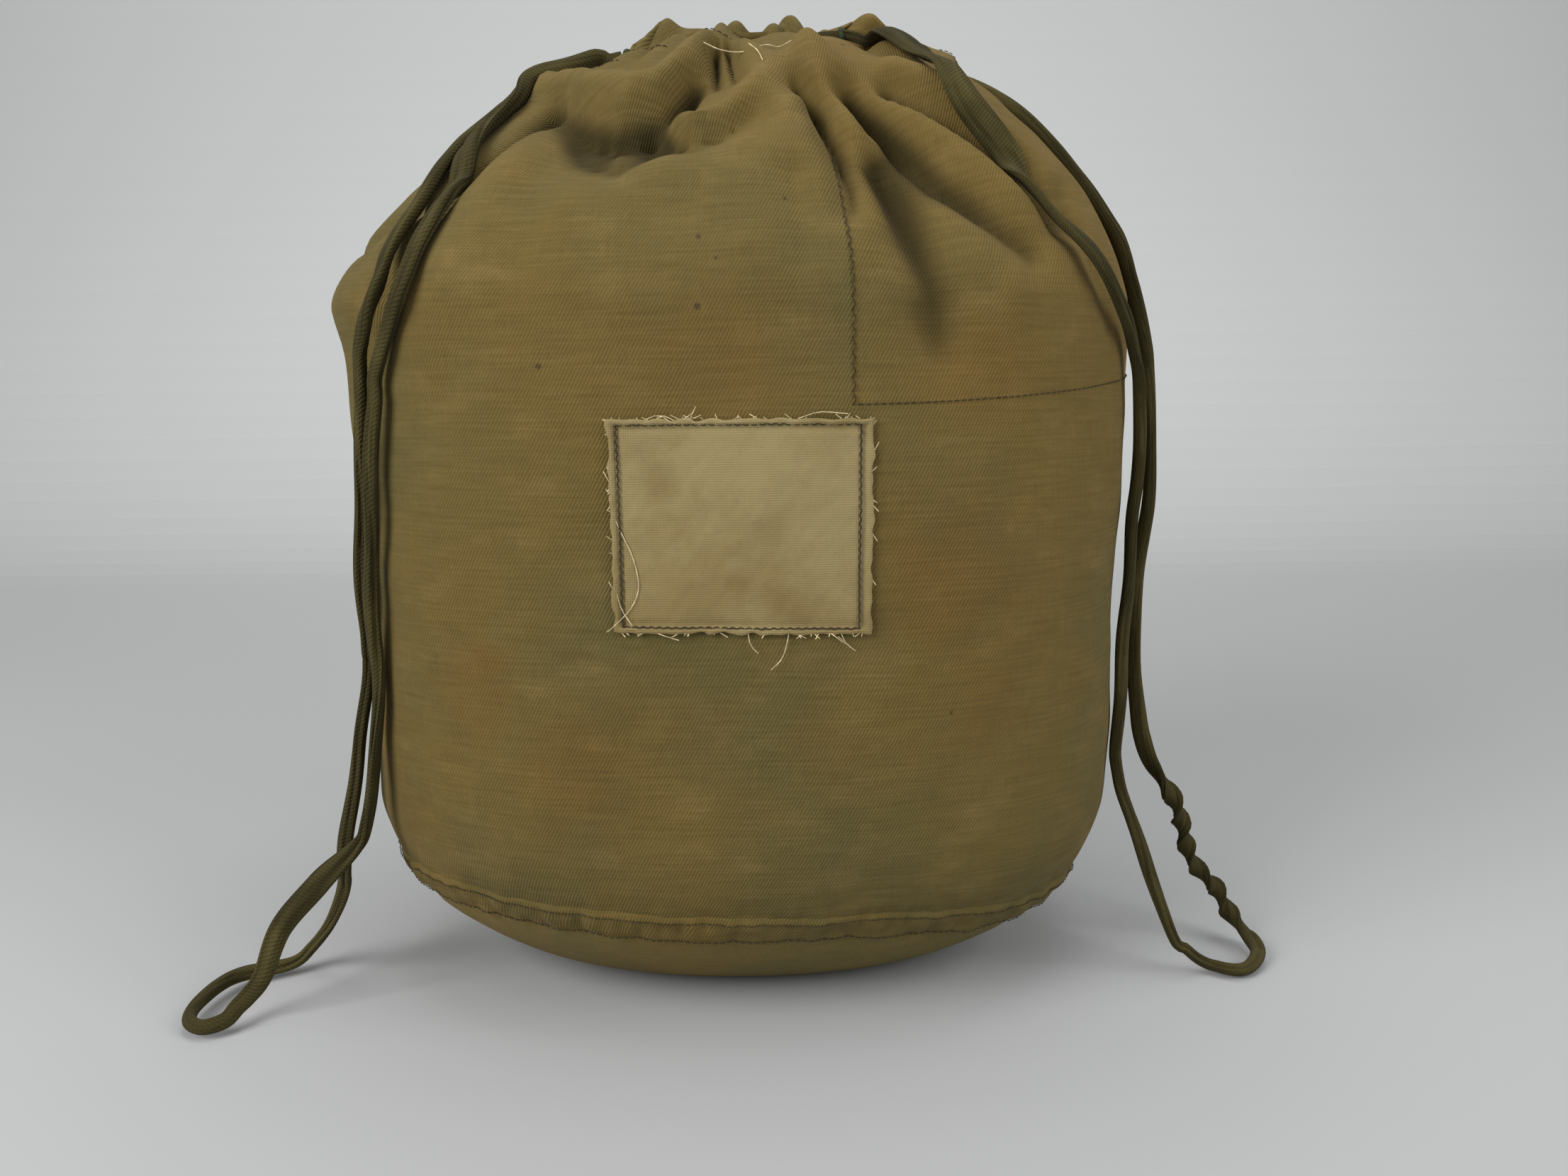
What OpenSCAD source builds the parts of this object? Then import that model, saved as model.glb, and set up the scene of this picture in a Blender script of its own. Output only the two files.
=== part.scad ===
// Drawstring duffel bag, sewn from cotton twill and drawn closed.
// Millimetres: +X is the bag's right, the labelled front faces -Y and +Z is up.
// The origin is the middle of the flat foot that the bag stands on.

/* [Bag] */
// Width of the filled bag across the belly
belly_width = 288; // [260:2:330]
// Width of the filled bag just above its base
lower_width = 282; // [256:2:328]
// Depth of the filled bag, front to back
belly_depth = 200; // [170:2:220]
// Width of the flat foot that touches the ground
foot_width = 156; // [120:2:180]
// Depth of the flat foot
foot_depth = 80; // [60:2:100]
// Height over which the base curves up into the side
turn_height = 77; // [66:1:90]
// Height at which the side starts to draw in
shoulder_height = 253; // [245:1:262]
// Height of the crest of the gathers at front and back
crest_height = 348; // [344:1:356]
// How full the upper corners of the back stand out
corner_bulge = 7; // [0:1:12]
// How far the left side stands out under the shoulder
side_bulge = 5; // [0:1:8]
// How far the right back gathers stand above the crest
crest_hump = 17; // [0:1:20]

/* [Cloth] */
// Thickness of the twill
cloth = 1; // [0.8:0.1:1.4]
// Width of the felled seams
seam_width = 12; // [8:0.5:14]
// Height of the middle of the base seam
base_seam_height = 42; // [34:1:52]
// Height of the seam under the pieced panel
insert_height = 219; // [190:1:240]
// Clearance between a layer sewn on top and the cloth under it
layer_gap = 0.2; // [0.1:0.05:0.4]

/* [Gathers] */
// Number of gathered folds round the mouth
fold_count = 20; // [16:2:24]
// Depth of a gathered fold, ridge to valley
fold_depth = 10; // [4:0.5:12]

/* [Hem casing] */
// Length of the slot left open at the drawn mouth
mouth_length = 32; // [26:1:40]
// Width of that slot
mouth_width = 10; // [8:0.5:13]
// Height of the underside of the hem casing
casing_bottom = 337; // [334:1:340]
// Clearance round a drawstring in the casing
string_clearance = 0.5; // [0.4:0.1:0.8]
// Thickness of the worked edge of an eyelet
eyelet_edge = 1.6; // [1:0.1:2]

/* [Drawstrings] */
// Diameter of the rolled twill tape
string_d = 6; // [5:0.1:6.4]
// How far each drawstring still pulls out
string_travel = 12; // [6:1:14]

/* [Label] */
// Width of the sewn label
label_width = 81; // [60:1:96]
// Height of the sewn label
label_height = 67; // [50:1:70]
// Middle of the label, to the right of the bag's middle
label_x = 1.5; // [-8:0.5:10]
// Height of the middle of the label
label_z = 181; // [170:1:184]
// Distance of the stitching from the label's edge
label_stitch_inset = 3; // [2:0.5:6]

/* [Stitching] */
// Diameter of the sewing thread
thread_d = 0.6; // [0.4:0.1:0.8]

/* [Hidden] */

khaki = [0.42, 0.35, 0.20];
khaki_pieced = [0.44, 0.36, 0.20];
khaki_seam = [0.38, 0.31, 0.18];
olive_tape = [0.24, 0.21, 0.11];
label_cloth = [0.58, 0.51, 0.36];
dark_thread = [0.12, 0.10, 0.06];
eyelet_thread = [0.13, 0.15, 0.09];

belly_a = belly_width / 2;
belly_b = belly_depth / 2;
lower_a = lower_width / 2;
foot_a = foot_width / 2;
foot_b = foot_depth / 2;

// ---- Hem casing and drawstring places ----
bore_w = string_d + 2 * string_clearance;
bore_h = 2 * string_d + 3 * string_clearance;
run_y = mouth_width / 2 + cloth + bore_w / 2;
bore_outer_y = run_y + bore_w / 2;
bore_inner_y = run_y - bore_w / 2;
bore_inner_x = mouth_length / 2 + cloth;
bore_outer_x = bore_inner_x + string_d + string_travel + 2 * string_clearance;
casing_a = bore_outer_x + cloth;
casing_b = bore_outer_y + cloth;
casing_corner = 3;
casing_h = bore_h + 2 * cloth;
low_string_z = casing_bottom + cloth + string_clearance + string_d / 2;
high_string_z = low_string_z + string_d + string_clearance;
slot_h = string_d + 2 * string_clearance;
slot_w = 2 * run_y + slot_h;
string_exit_x = casing_a + eyelet_edge + 2;

// ---- The bag's smooth skin ----
neck_gap = 0.8;
neck_a = casing_a + neck_gap + cloth;
neck_b = casing_b + neck_gap + cloth;
neck_z = casing_bottom - cloth - neck_gap;
left_saddle_a = 49;
right_saddle_a = 75;
left_crest_power = 2;
right_crest_power = 1;
saddle_z = casing_bottom - 3;
crest_b = casing_b + 8;
belly_square = 2.6;
neck_square = 4;
foot_square = 2;
turn_power = 1.5;
draw_in_power = 1.5;
rise_power = 1.4;
belly_fullness = 3;
neck_fall_power = 1;
bulge_angle = 157;
bulge_spread = 20;
bulge_z = 260;
bulge_rise = 32;
side_bulge_angle = 192;
side_bulge_z = 257;
side_bulge_rise = 17;
hump_angle = 54;
hump_spread = 20;

function mix(p, q, s) = p + (q - p) * s;
function unit(v) = v / norm(v);
function bell(x, spread) = exp(-pow(x / spread, 2));
function round_out(th, n) = pow(pow(abs(cos(th)), n) + pow(abs(sin(th)), n), -1 / n);
function ring_point(th, a, b, n, z) = let(k = round_out(th, n)) [a * cos(th) * k, b * sin(th) * k, z];
function lies_along(th) = pow(sin(th), 2);

// The skin in four stretches: 0 turns up from the foot, 1 is the side, 2 the shoulder and 3 the neck
function foot_turn(th, s) =
    let(k = pow(sin(90 * s), turn_power))
    ring_point(th, mix(foot_a, lower_a, k), mix(foot_b, belly_b, k), mix(foot_square, belly_square, s),
        turn_height * (1 - cos(90 * s)));
function side_b(s) = belly_b + belly_fullness * sin(180 * s);
function side_a(s) = mix(lower_a, belly_a, sin(90 * s));
function side_wall(th, s) =
    ring_point(th, side_a(s), side_b(s), belly_square, mix(turn_height, shoulder_height, s));
function saddle_a(th) = cos(th) < 0 ? left_saddle_a : right_saddle_a;
function crest_power(th) = cos(th) < 0 ? left_crest_power : right_crest_power;
function crest_z(th) =
    mix(saddle_z, crest_height, pow(lies_along(th), crest_power(th)))
    + crest_hump * bell(th - hump_angle, hump_spread);
function shoulder(th, s) =
    let(k = pow(cos(90 * s), draw_in_power), h = pow(sin(90 * s), rise_power))
    ring_point(th, mix(saddle_a(th), belly_a, k), mix(crest_b, belly_b, k), mix(belly_square, neck_square, s * s),
        mix(shoulder_height, crest_z(th), h));
function neck(th, s) =
    ring_point(th, mix(saddle_a(th), neck_a, s), mix(crest_b, neck_b, s), neck_square,
        mix(crest_z(th), neck_z, pow(s, neck_fall_power)));
function smooth_skin(th, stretch, s) =
    stretch == 0 ? foot_turn(th, s) : stretch == 1 ? side_wall(th, s) :
    stretch == 2 ? shoulder(th, s) : neck(th, s);

// ---- Rows of the skin, from the foot to the mouth, each a stretch and a share of it ----
function turn_at(z) = acos(1 - z / turn_height) / 90;
function side_at(z) = (z - turn_height) / (shoulder_height - turn_height);
turn_high = turn_at(base_seam_height + seam_width / 2);
side_steps = 4;
shoulder_steps = 9;
neck_steps = 3;
rows = concat(
    [[0, 0], [0, turn_at(base_seam_height) / 2], [0, turn_at(base_seam_height - seam_width / 2)],
     [0, turn_at(base_seam_height)], [0, turn_high], [0, mix(turn_high, 1, 0.5)]],
    [for (i = [0 : side_steps]) [1, side_at(insert_height) * i / side_steps]],
    [for (i = [0 : shoulder_steps - 1]) [2, i / shoulder_steps]],
    [for (i = [0 : neck_steps]) [3, i / neck_steps]]
);
seam_row = 3;
low_row = seam_row - 1;
high_row = seam_row + 1;
insert_row = high_row + 2 + side_steps;
crest_row = insert_row + 1 + shoulder_steps;
last_row = len(rows) - 1;
casing_stitch_row = crest_row - 2;

// ---- Columns of the skin, round the bag from its right side ----
nu = 4 * fold_count;
half = nu / 2;
insert_angle = 285;
insert_column = round(nu * insert_angle / 360);
function wrap(u) = (u % nu + nu) % nu;

// Folds grow up the shoulder, shrink again towards the mouth and lie flat along the side seams
neck_fold_share = 0.8;
mouth_fold_share = 0.12;
fold_freedom = 2;
function fold(th, stretch, s) =
    let(grow = stretch < 2 ? 0 : stretch == 2 ? sin(90 * s) : mix(neck_fold_share, mouth_fold_share, s),
        free = min(1, fold_freedom * lies_along(th)))
    fold_depth / 2 * grow * free * cos(fold_count * th);
function corner(th, z) =
    corner_bulge * (bell(th - bulge_angle, bulge_spread) + bell(180 - th - bulge_angle, bulge_spread))
    * bell(z - bulge_z, bulge_rise)
    + side_bulge * bell(th - side_bulge_angle, bulge_spread) * bell(z - side_bulge_z, side_bulge_rise);
normal_step = 0.02;
function skin_normal(th, stretch, s) =
    let(lo = max(0, s - normal_step), hi = min(1, s + normal_step))
    unit(cross(smooth_skin(th + 1, stretch, s) - smooth_skin(th - 1, stretch, s),
        smooth_skin(th, stretch, hi) - smooth_skin(th, stretch, lo)));
angles = [for (u = [0 : nu - 1]) 360 * u / nu];
normals = [for (r = rows) [for (th = angles) skin_normal(th, r[0], r[1])]];
skin = [for (v = [0 : last_row]) [for (u = [0 : nu - 1])
    let(th = angles[u], p = smooth_skin(th, rows[v][0], rows[v][1]))
    p + (fold(th, rows[v][0], rows[v][1]) + corner(th, p.z)) * normals[v][u]]];

// A point at any column and row, a given distance out from the skin
function corner_point(u, v, off) = skin[v][wrap(u)] + off * normals[v][wrap(u)];
function on_skin(u, v, off) =
    let(i = floor(u), j = min(floor(v), last_row - 1), p = u - i, q = v - j)
    p == 0 && q == 0 ? corner_point(i, j, off) :
    mix(mix(corner_point(i, j, off), corner_point(i + 1, j, off), p),
        mix(corner_point(i, j + 1, off), corner_point(i + 1, j + 1, off), p), q);
function normal_at(u, v) = normals[round(v)][wrap(round(u))];
top_face = layer_gap + cloth;
thread_gap = 0.3;
thread_lift = thread_d / 2 + thread_gap;
seam_thread_off = top_face + thread_lift;

// A closed sheet of cloth over a grid of cells, between the layers 0 and 1 that place() gives.
// It may run right round, leave out cells, and be closed below by a flat floor.
module sheet(u0, u1, v0, v1, place, keep = function(u, v) true, around = false, floored = false) {
    m = around ? nu : u1 - u0 + 1;
    k = v1 - v0 + 1;
    function at(u, v, top) = (top * k + v - v0) * m + (u - u0) % m;
    function cell(u, v) = v >= v0 && v < v1 && (around || (u >= u0 && u < u1)) && keep(u, v);
    points = [for (top = [0, 1]) for (v = [v0 : v1]) for (i = [0 : m - 1]) place(u0 + i, v, top)];
    middle = [for (top = [0, 1]) [0, 0, place(u0, v0, top).z]];
    faces = [for (v = [v0 : v1 - 1]) for (u = [u0 : u1 - 1]) if (keep(u, v)) each concat(
        [[at(u, v, 1), at(u + 1, v + 1, 1), at(u + 1, v, 1)], [at(u, v, 1), at(u, v + 1, 1), at(u + 1, v + 1, 1)],
         [at(u, v, 0), at(u + 1, v, 0), at(u + 1, v + 1, 0)], [at(u, v, 0), at(u + 1, v + 1, 0), at(u, v + 1, 0)]],
        cell(u, v - 1) || floored && v == v0 ? [] :
            [[at(u, v, 0), at(u + 1, v, 1), at(u + 1, v, 0)], [at(u, v, 0), at(u, v, 1), at(u + 1, v, 1)]],
        cell(u, v + 1) ? [] :
            [[at(u, v + 1, 0), at(u + 1, v + 1, 0), at(u + 1, v + 1, 1)],
             [at(u, v + 1, 0), at(u + 1, v + 1, 1), at(u, v + 1, 1)]],
        cell(u - 1, v) ? [] :
            [[at(u, v, 0), at(u, v + 1, 0), at(u, v + 1, 1)], [at(u, v, 0), at(u, v + 1, 1), at(u, v, 1)]],
        cell(u + 1, v) ? [] :
            [[at(u + 1, v, 0), at(u + 1, v + 1, 1), at(u + 1, v + 1, 0)],
             [at(u + 1, v, 0), at(u + 1, v, 1), at(u + 1, v + 1, 1)]])];
    floor_faces = [for (u = [u0 : u1 - 1]) each
        [[len(points) + 1, at(u, v0, 1), at(u + 1, v0, 1)], [len(points), at(u + 1, v0, 0), at(u, v0, 0)]]];
    polyhedron(floored ? concat(points, middle) : points, floored ? concat(faces, floor_faces) : faces,
        convexity = 10);
}

// A tube along points; each ring is turned by the direction that its entry in refs gives
module tube(path, refs, d, sides, closed = false) {
    n = len(path);
    function at(i, j) = (i % n) * sides + j % sides;
    rings = [for (i = [0 : n - 1])
        let(before = closed ? path[(i + n - 1) % n] : path[max(i - 1, 0)],
            after = closed ? path[(i + 1) % n] : path[min(i + 1, n - 1)],
            along = unit(after - before),
            across = unit(cross(along, refs[i])),
            up = cross(across, along))
        for (j = [0 : sides - 1])
        let(q = 360 * (j + 0.5) / sides)
        path[i] + d / 2 * (cos(q) * across + sin(q) * up)];
    walls = [for (i = [0 : closed ? n - 1 : n - 2]) for (j = [0 : sides - 1]) each
        [[at(i, j), at(i, j + 1), at(i + 1, j + 1)], [at(i, j), at(i + 1, j + 1), at(i + 1, j)]]];
    ends = closed ? [] : [
        [for (j = [sides - 1 : -1 : 0]) at(0, j)],
        [for (j = [0 : sides - 1]) at(n - 1, j)]];
    polyhedron(rings, concat(walls, ends), convexity = 10);
}

// ---- Cloth pieces ----
module front_panel() {
    color(khaki)
        sheet(half, nu, seam_row, last_row, function(u, v, top) on_skin(u, v, (top - 1) * cloth),
            function(u, v) v < insert_row || u < insert_column);
}
module front_insert_panel() {
    color(khaki_pieced)
        sheet(insert_column, nu, insert_row, last_row, function(u, v, top) on_skin(u, v, (top - 1) * cloth));
}
module back_panel() {
    color(khaki)
        sheet(0, half, seam_row, last_row, function(u, v, top) on_skin(u, v, (top - 1) * cloth));
}
module base_panel() {
    color(khaki)
        sheet(0, nu, 0, seam_row, function(u, v, top) on_skin(u, v, (top - 1) * cloth),
            around = true, floored = true);
}

// ---- Felled seams ----
module side_seam(column) {
    color(khaki_seam)
        sheet(column - 1, column + 1, high_row, last_row,
            function(u, v, top) on_skin(u, v, layer_gap + top * cloth));
}
module base_seam() {
    color(khaki_seam)
        sheet(0, nu, low_row, high_row, function(u, v, top) on_skin(u, v, layer_gap + top * cloth), around = true);
}

// ---- Hem casing and eyelets ----
module rounded(a, b, r) {
    square([2 * (a - r), 2 * b], center = true);
    square([2 * a, 2 * (b - r)], center = true);
    for (x = [r - a, a - r], y = [r - b, b - r]) translate([x, y]) circle(r, $fn = 32);
}
module hem_casing() {
    color(khaki) difference() {
        translate([0, 0, casing_bottom]) linear_extrude(casing_h) difference() {
            rounded(casing_a, casing_b, casing_corner);
            square([mouth_length, mouth_width], center = true);
        }
        translate([0, 0, casing_bottom + cloth]) linear_extrude(bore_h) difference() {
            rounded(bore_outer_x, bore_outer_y, casing_corner - cloth);
            square(2 * [bore_inner_x, bore_inner_y], center = true);
        }
        for (side = [1, -1])
            translate([side * (bore_outer_x + cloth / 2), 0, string_z(side)])
                cube([3 * cloth, slot_w, slot_h], center = true);
    }
}
function string_z(side) = side > 0 ? high_string_z : low_string_z;
module eyelet(side) {
    color(eyelet_thread)
        translate([side > 0 ? casing_a : -casing_a - eyelet_edge, 0, string_z(side)])
            rotate([90, 0, 90]) linear_extrude(eyelet_edge) difference() {
                rounded(slot_w / 2 + eyelet_edge, slot_h / 2 + eyelet_edge, eyelet_edge);
                square([slot_w, slot_h], center = true);
            }
}

// ---- Label ----
label_columns = 9;
label_rows = 6;
label_ease = 0.3;
label_off = layer_gap + label_ease;
function front_y(x, z) =
    let(s = side_at(z), share = pow(abs(x) / side_a(s), belly_square))
    -side_b(s) * pow(1 - share, 1 / belly_square);
function label_point(x, z, off) = [x, front_y(x, z) - off, z];
function label_cell(u, v, off) =
    label_point(label_x + label_width * (u / label_columns - 0.5), label_z + label_height * (v / label_rows - 0.5), off);
module label() {
    color(label_cloth)
        sheet(0, label_columns, 0, label_rows,
            function(u, v, top) label_cell(u, v, label_off + top * cloth));
}

// Zigzag stitching round the label, one side after another
zigzag_pitch = 4;
zigzag_width = 3;
function zigzag(from, to) =
    let(n = 2 * round(norm(to - from) / zigzag_pitch), along = (to - from) / n,
        out = zigzag_width / 2 * unit([-along.y, along.x]))
    [for (i = [0 : n - 1]) from + i * along + (i % 2 == 0 ? 0 : 1) * out];
module label_stitching() {
    w = label_width / 2 - label_stitch_inset;
    h = label_height / 2 - label_stitch_inset;
    corners = [[-w, -h], [w, -h], [w, h], [-w, h]];
    outline = [for (i = [0 : 3]) each zigzag(corners[i], corners[(i + 1) % 4])];
    off = label_off + cloth + thread_lift;
    path = [for (p = outline) label_point(label_x + p.x, label_z + p.y, off)];
    color(dark_thread) tube(path, [for (p = path) [0, -1, 0]], thread_d, 4, closed = true);
}

// ---- Seam stitching ----
module stitch_line(places, closed = false) {
    path = [for (p = places) on_skin(p[0], p[1], p[2])];
    color(dark_thread) tube(path, [for (p = places) normal_at(p[0], p[1])], thread_d, 4, closed);
}
base_stitch_share = 0.65;
side_stitch_share = 0.6;
panel_stitch_share = 0.3;
module base_stitching(row) {
    stitch_line([for (u = [0 : nu - 1]) [u, row, seam_thread_off]], closed = true);
}
module side_stitching(column) {
    for (shift = [-side_stitch_share, side_stitch_share])
        stitch_line([for (v = [high_row : crest_row]) [column + shift, v, seam_thread_off]]);
}
module insert_seam_stitching_upright() {
    stitch_line([for (v = [insert_row : casing_stitch_row - 1])
        [insert_column + panel_stitch_share, v, thread_lift]]);
}
module insert_seam_stitching_level() {
    stitch_line([for (u = [insert_column + 1 : nu - 2]) [u, insert_row + panel_stitch_share, thread_lift]]);
}
module casing_stitching() {
    for (start = [0, half])
        stitch_line([for (u = [start + 2 : start + half - 2]) [u, casing_stitch_row, thread_lift]]);
}

// ---- Drawstrings ----
string_sides = 8;
turn_bend = string_d / 2 + 1;
turn_x = bore_outer_x - string_clearance - string_d / 2;
bend_steps = 4;
function bend(centre, from, step) =
    [for (i = [0 : bend_steps]) centre + turn_bend * [cos(from + step * i), sin(from + step * i)]];
module drawstring_run(side) {
    flat = concat(
        [[string_exit_x, -run_y]],
        bend([turn_bend - turn_x, turn_bend - run_y], 270, -90 / bend_steps),
        bend([turn_bend - turn_x, run_y - turn_bend], 180, -90 / bend_steps),
        [[string_exit_x, run_y]]);
    path = [for (p = flat) [side * p.x, p.y, string_z(side)]];
    color(olive_tape) tube(path, [for (p = path) [0, 0, side]], string_d, string_sides);
}

// Routes of the two free loops, from the front strand out of the eyelet round to the back strand
right_route = [
    [54, -12, 350], [62, -22, 350], [68, -36, 345], [71, -50, 335], [72, -63, 319], [81, -69, 308],
    [92, -66, 299], [103, -65, 290], [111, -68, 280], [118, -70, 269], [125, -69, 258], [133, -60, 247],
    [139, -50, 237], [142, -47, 227], [143, -44, 210], [143, -42, 189], [142, -41, 168], [141, -41, 99],
    [142, -41, 82], [146, -41, 64], [162, -45, 18], [168, -46, 11], [177, -43, 4], [185, -47, 4],
    [192, -45, 4], [199, -36, 4], [200, -27, 5], [198, -19, 8], [194, -16, 14], [190, -14, 21],
    [183, -13, 28], [178, -12, 36], [175, -10, 51], [170, -9, 62], [164, -8, 71], [160, -7, 81],
    [158, -6, 94], [156, -5, 129], [159, -5, 166], [159, -6, 186], [155, -10, 227], [152, -12, 243],
    [143, -15, 271], [135, -16, 285], [116, -15, 310], [96, -10, 331], [84, -2, 344], [72, 5, 350],
    [59, 10, 351]
];
left_route = [
    [-53, -12, 346], [-57, -24, 347], [-58, -38, 343], [-58, -51, 335], [-62, -61, 320], [-71, -70, 308],
    [-81, -79, 293], [-86, -82, 285], [-92, -83, 277], [-102, -86, 258], [-107, -84, 248], [-116, -78, 231],
    [-117, -78, 221], [-121, -75, 195], [-124, -71, 154], [-128, -66, 115], [-134, -63, 74], [-139, -62, 62],
    [-155, -62, 48], [-168, -66, 33], [-174, -70, 17], [-179, -71, 10], [-182, -74, 7], [-184, -80, 5],
    [-191, -83, 4], [-198, -78, 4], [-201, -68, 4], [-199, -55, 4], [-193, -45, 4], [-178, -37, 4],
    [-171, -35, 9], [-162, -39, 19], [-156, -43, 30], [-151, -47, 43], [-148, -51, 56], [-133, -58, 125],
    [-131, -62, 139], [-126, -70, 195], [-123, -72, 232], [-121, -74, 241], [-117, -78, 249], [-112, -79, 259],
    [-109, -75, 270], [-100, -66, 288], [-89, -57, 304], [-84, -50, 313], [-77, -44, 321], [-76, -33, 335],
    [-72, -20, 341], [-66, -6, 340], [-58, 6, 343]
];
function carried(dirs, i, up, done) =
    i == len(dirs) ? done :
    let(level = unit(up - (up * dirs[i]) * dirs[i])) carried(dirs, i + 1, level, concat(done, [level]));
module drawstring_loop(route, side) {
    path = concat(
        [[side * string_exit_x, -run_y, string_z(side)], [side * (string_exit_x + string_d), -run_y, string_z(side)]],
        route,
        [[side * (string_exit_x + string_d), run_y, string_z(side)], [side * string_exit_x, run_y, string_z(side)]]);
    n = len(path);
    dirs = [for (i = [0 : n - 1]) unit(path[min(i + 1, n - 1)] - path[max(i - 1, 0)])];
    color(olive_tape) tube(path, carried(dirs, 0, [0, 0, 1], []), string_d, string_sides);
}

front_panel();
front_insert_panel();
back_panel();
base_panel();
side_seam(0);  // side_seam_right
side_seam(half);  // side_seam_left
base_seam();
hem_casing();
eyelet(1);  // eyelet_right
eyelet(-1);  // eyelet_left
label();
label_stitching();
insert_seam_stitching_upright();
insert_seam_stitching_level();
base_stitching(seam_row + base_stitch_share);  // base_seam_stitching_upper
base_stitching(seam_row - base_stitch_share);  // base_seam_stitching_lower
side_stitching(0);  // side_seam_stitching_right
side_stitching(half);  // side_seam_stitching_left
casing_stitching();
drawstring_run(1);  // drawstring_right_run
drawstring_loop(right_route, 1);  // drawstring_right_loop
drawstring_run(-1);  // drawstring_left_run
drawstring_loop(left_route, -1);  // drawstring_left_loop
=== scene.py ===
"""Looks of the drawstring duffel bag: cloth, seams, stitching, label, drawstrings and a plain stage."""

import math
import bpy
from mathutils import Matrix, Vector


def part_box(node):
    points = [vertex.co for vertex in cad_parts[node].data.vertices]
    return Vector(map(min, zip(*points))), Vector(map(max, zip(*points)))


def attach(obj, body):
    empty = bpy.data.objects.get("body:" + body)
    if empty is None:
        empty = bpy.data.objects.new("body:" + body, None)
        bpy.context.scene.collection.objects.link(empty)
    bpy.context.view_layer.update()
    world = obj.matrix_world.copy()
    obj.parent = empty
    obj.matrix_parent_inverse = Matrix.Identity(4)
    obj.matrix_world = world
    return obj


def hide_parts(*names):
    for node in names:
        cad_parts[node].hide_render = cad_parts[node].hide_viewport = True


bl_info = {
    "name": "Drawstring duffel bag",
    "version": (1, 0, 0),
    "blender": (4, 5, 0),
    "location": "View3D > Sidebar > Duffel bag",
    "description": "Makes a filled cotton drawstring bag round its packed frame",
    "category": "Add Mesh",
}

import bpy
import numpy as np
from mathutils import Euler, Vector
from mathutils.bvhtree import BVHTree

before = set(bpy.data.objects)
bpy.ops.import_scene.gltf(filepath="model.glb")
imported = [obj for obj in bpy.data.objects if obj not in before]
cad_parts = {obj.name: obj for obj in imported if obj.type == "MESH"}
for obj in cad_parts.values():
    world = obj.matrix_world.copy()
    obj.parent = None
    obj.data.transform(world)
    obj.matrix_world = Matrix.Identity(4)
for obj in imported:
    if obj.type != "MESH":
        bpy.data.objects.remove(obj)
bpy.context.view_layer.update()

MM = 0.001
CASING_LOW, CASING_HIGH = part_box("hem_casing")
PHOTO_WIDTH = 2212


# ---- Sizes and colours that a user would change ----
def length_property(name, value, note):
    return bpy.props.FloatProperty(name=name, description=note, default=value, min=0.0, unit="LENGTH")


def colour_property(name, value, note):
    return bpy.props.FloatVectorProperty(
        name=name, description=note, default=value, size=3, min=0.0, max=1.0, subtype="COLOR")


class BagForm(bpy.types.PropertyGroup):
    """The filled bag's smooth form"""

    belly_width: length_property("Belly width", 0.288, "Width of the filled bag across the belly")
    lower_width: length_property("Lower width", 0.282, "Width of the filled bag just above its base")
    belly_depth: length_property("Belly depth", 0.200, "Depth of the filled bag")
    foot_width: length_property("Foot width", 0.156, "Width of the flat foot")
    foot_depth: length_property("Foot depth", 0.080, "Depth of the flat foot")
    turn_height: length_property("Turn height", 0.077, "Height over which the base curves up")
    shoulder_height: length_property("Shoulder height", 0.253, "Height at which the side starts to draw in")
    crest_height: length_property("Crest height", 0.348, "Height of the gathers' crest")
    crest_hump: length_property("Crest hump", 0.020, "How far the right back gathers stand up")
    corner_bulge: length_property("Corner bulge", 0.007, "How full the back's upper corners are")
    side_bulge: length_property("Side bulge", 0.005, "How far the left side stands out under the shoulder")
    seam_height: length_property("Base seam height", 0.042, "Height of the base seam")
    insert_height: length_property("Pieced panel height", 0.219, "Height of the seam under the pieced panel")
    cloth: length_property("Cloth thickness", 0.0009, "Thickness of the twill")


class BagFinish(bpy.types.PropertyGroup):
    """The bag's colours"""

    khaki: colour_property("Khaki", (0.147, 0.100, 0.029), "Main colour of the twill")
    olive: colour_property("Olive", (0.112, 0.090, 0.031), "Greener, darker mottling of the twill")
    # Sand is also used as the painted highlight on the twill's fold ridges
    sand: colour_property("Sand", (0.235, 0.162, 0.061), "Bleached and rubbed places of the twill")
    rust: colour_property("Rust", (0.150, 0.084, 0.022), "Brown stains in the twill")
    tape: colour_property("Tape", (0.044, 0.036, 0.012), "The drawstrings' twill tape")
    label: colour_property("Label", (0.282, 0.224, 0.104), "The label's unbleached cotton")
    thread: colour_property("Thread", (0.030, 0.024, 0.012), "The seams' sewing thread")
    eyelet: colour_property("Eyelet thread", (0.022, 0.030, 0.014), "The eyelets' buttonhole thread")


def form():
    return bpy.context.scene.bag_form


def finish():
    return bpy.context.scene.bag_finish


# ---- The smooth filled form, as in the construction: A is a half width, B a half depth ----
LEFT_CREST_POWER = 2.0
RIGHT_CREST_POWER = 1.0
LEFT_SADDLE_A = 0.049
RIGHT_SADDLE_A = 0.075
CREST_B = 0.022
BELLY_SQUARE = 2.6
NECK_SQUARE = 4.0
FOOT_SQUARE = 2.0
TURN_POWER = 1.5
DRAW_IN_POWER = 1.5
RISE_POWER = 1.4
BELLY_FULLNESS = 0.003
NECK_GAP = 0.0018
MOUTH_LEVEL = 3.999
INSERT_ANGLE = 285.0
INSERT_RISE = 0.009
SEAM_TILT = 0.055
SEAM_LEVEL = 0.6
CREST_HUMP_ANGLE = 54
CORNER_ANGLES = (157, 23)
CORNER_HEIGHT, CORNER_REACH = 0.260, 0.032
SIDE_BULGE_ANGLE = 192
SIDE_BULGE_HEIGHT, SIDE_BULGE_REACH = 0.257, 0.017
BULGE_TURN = 20


def mix(low, high, share):
    return low + (high - low) * share


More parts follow.
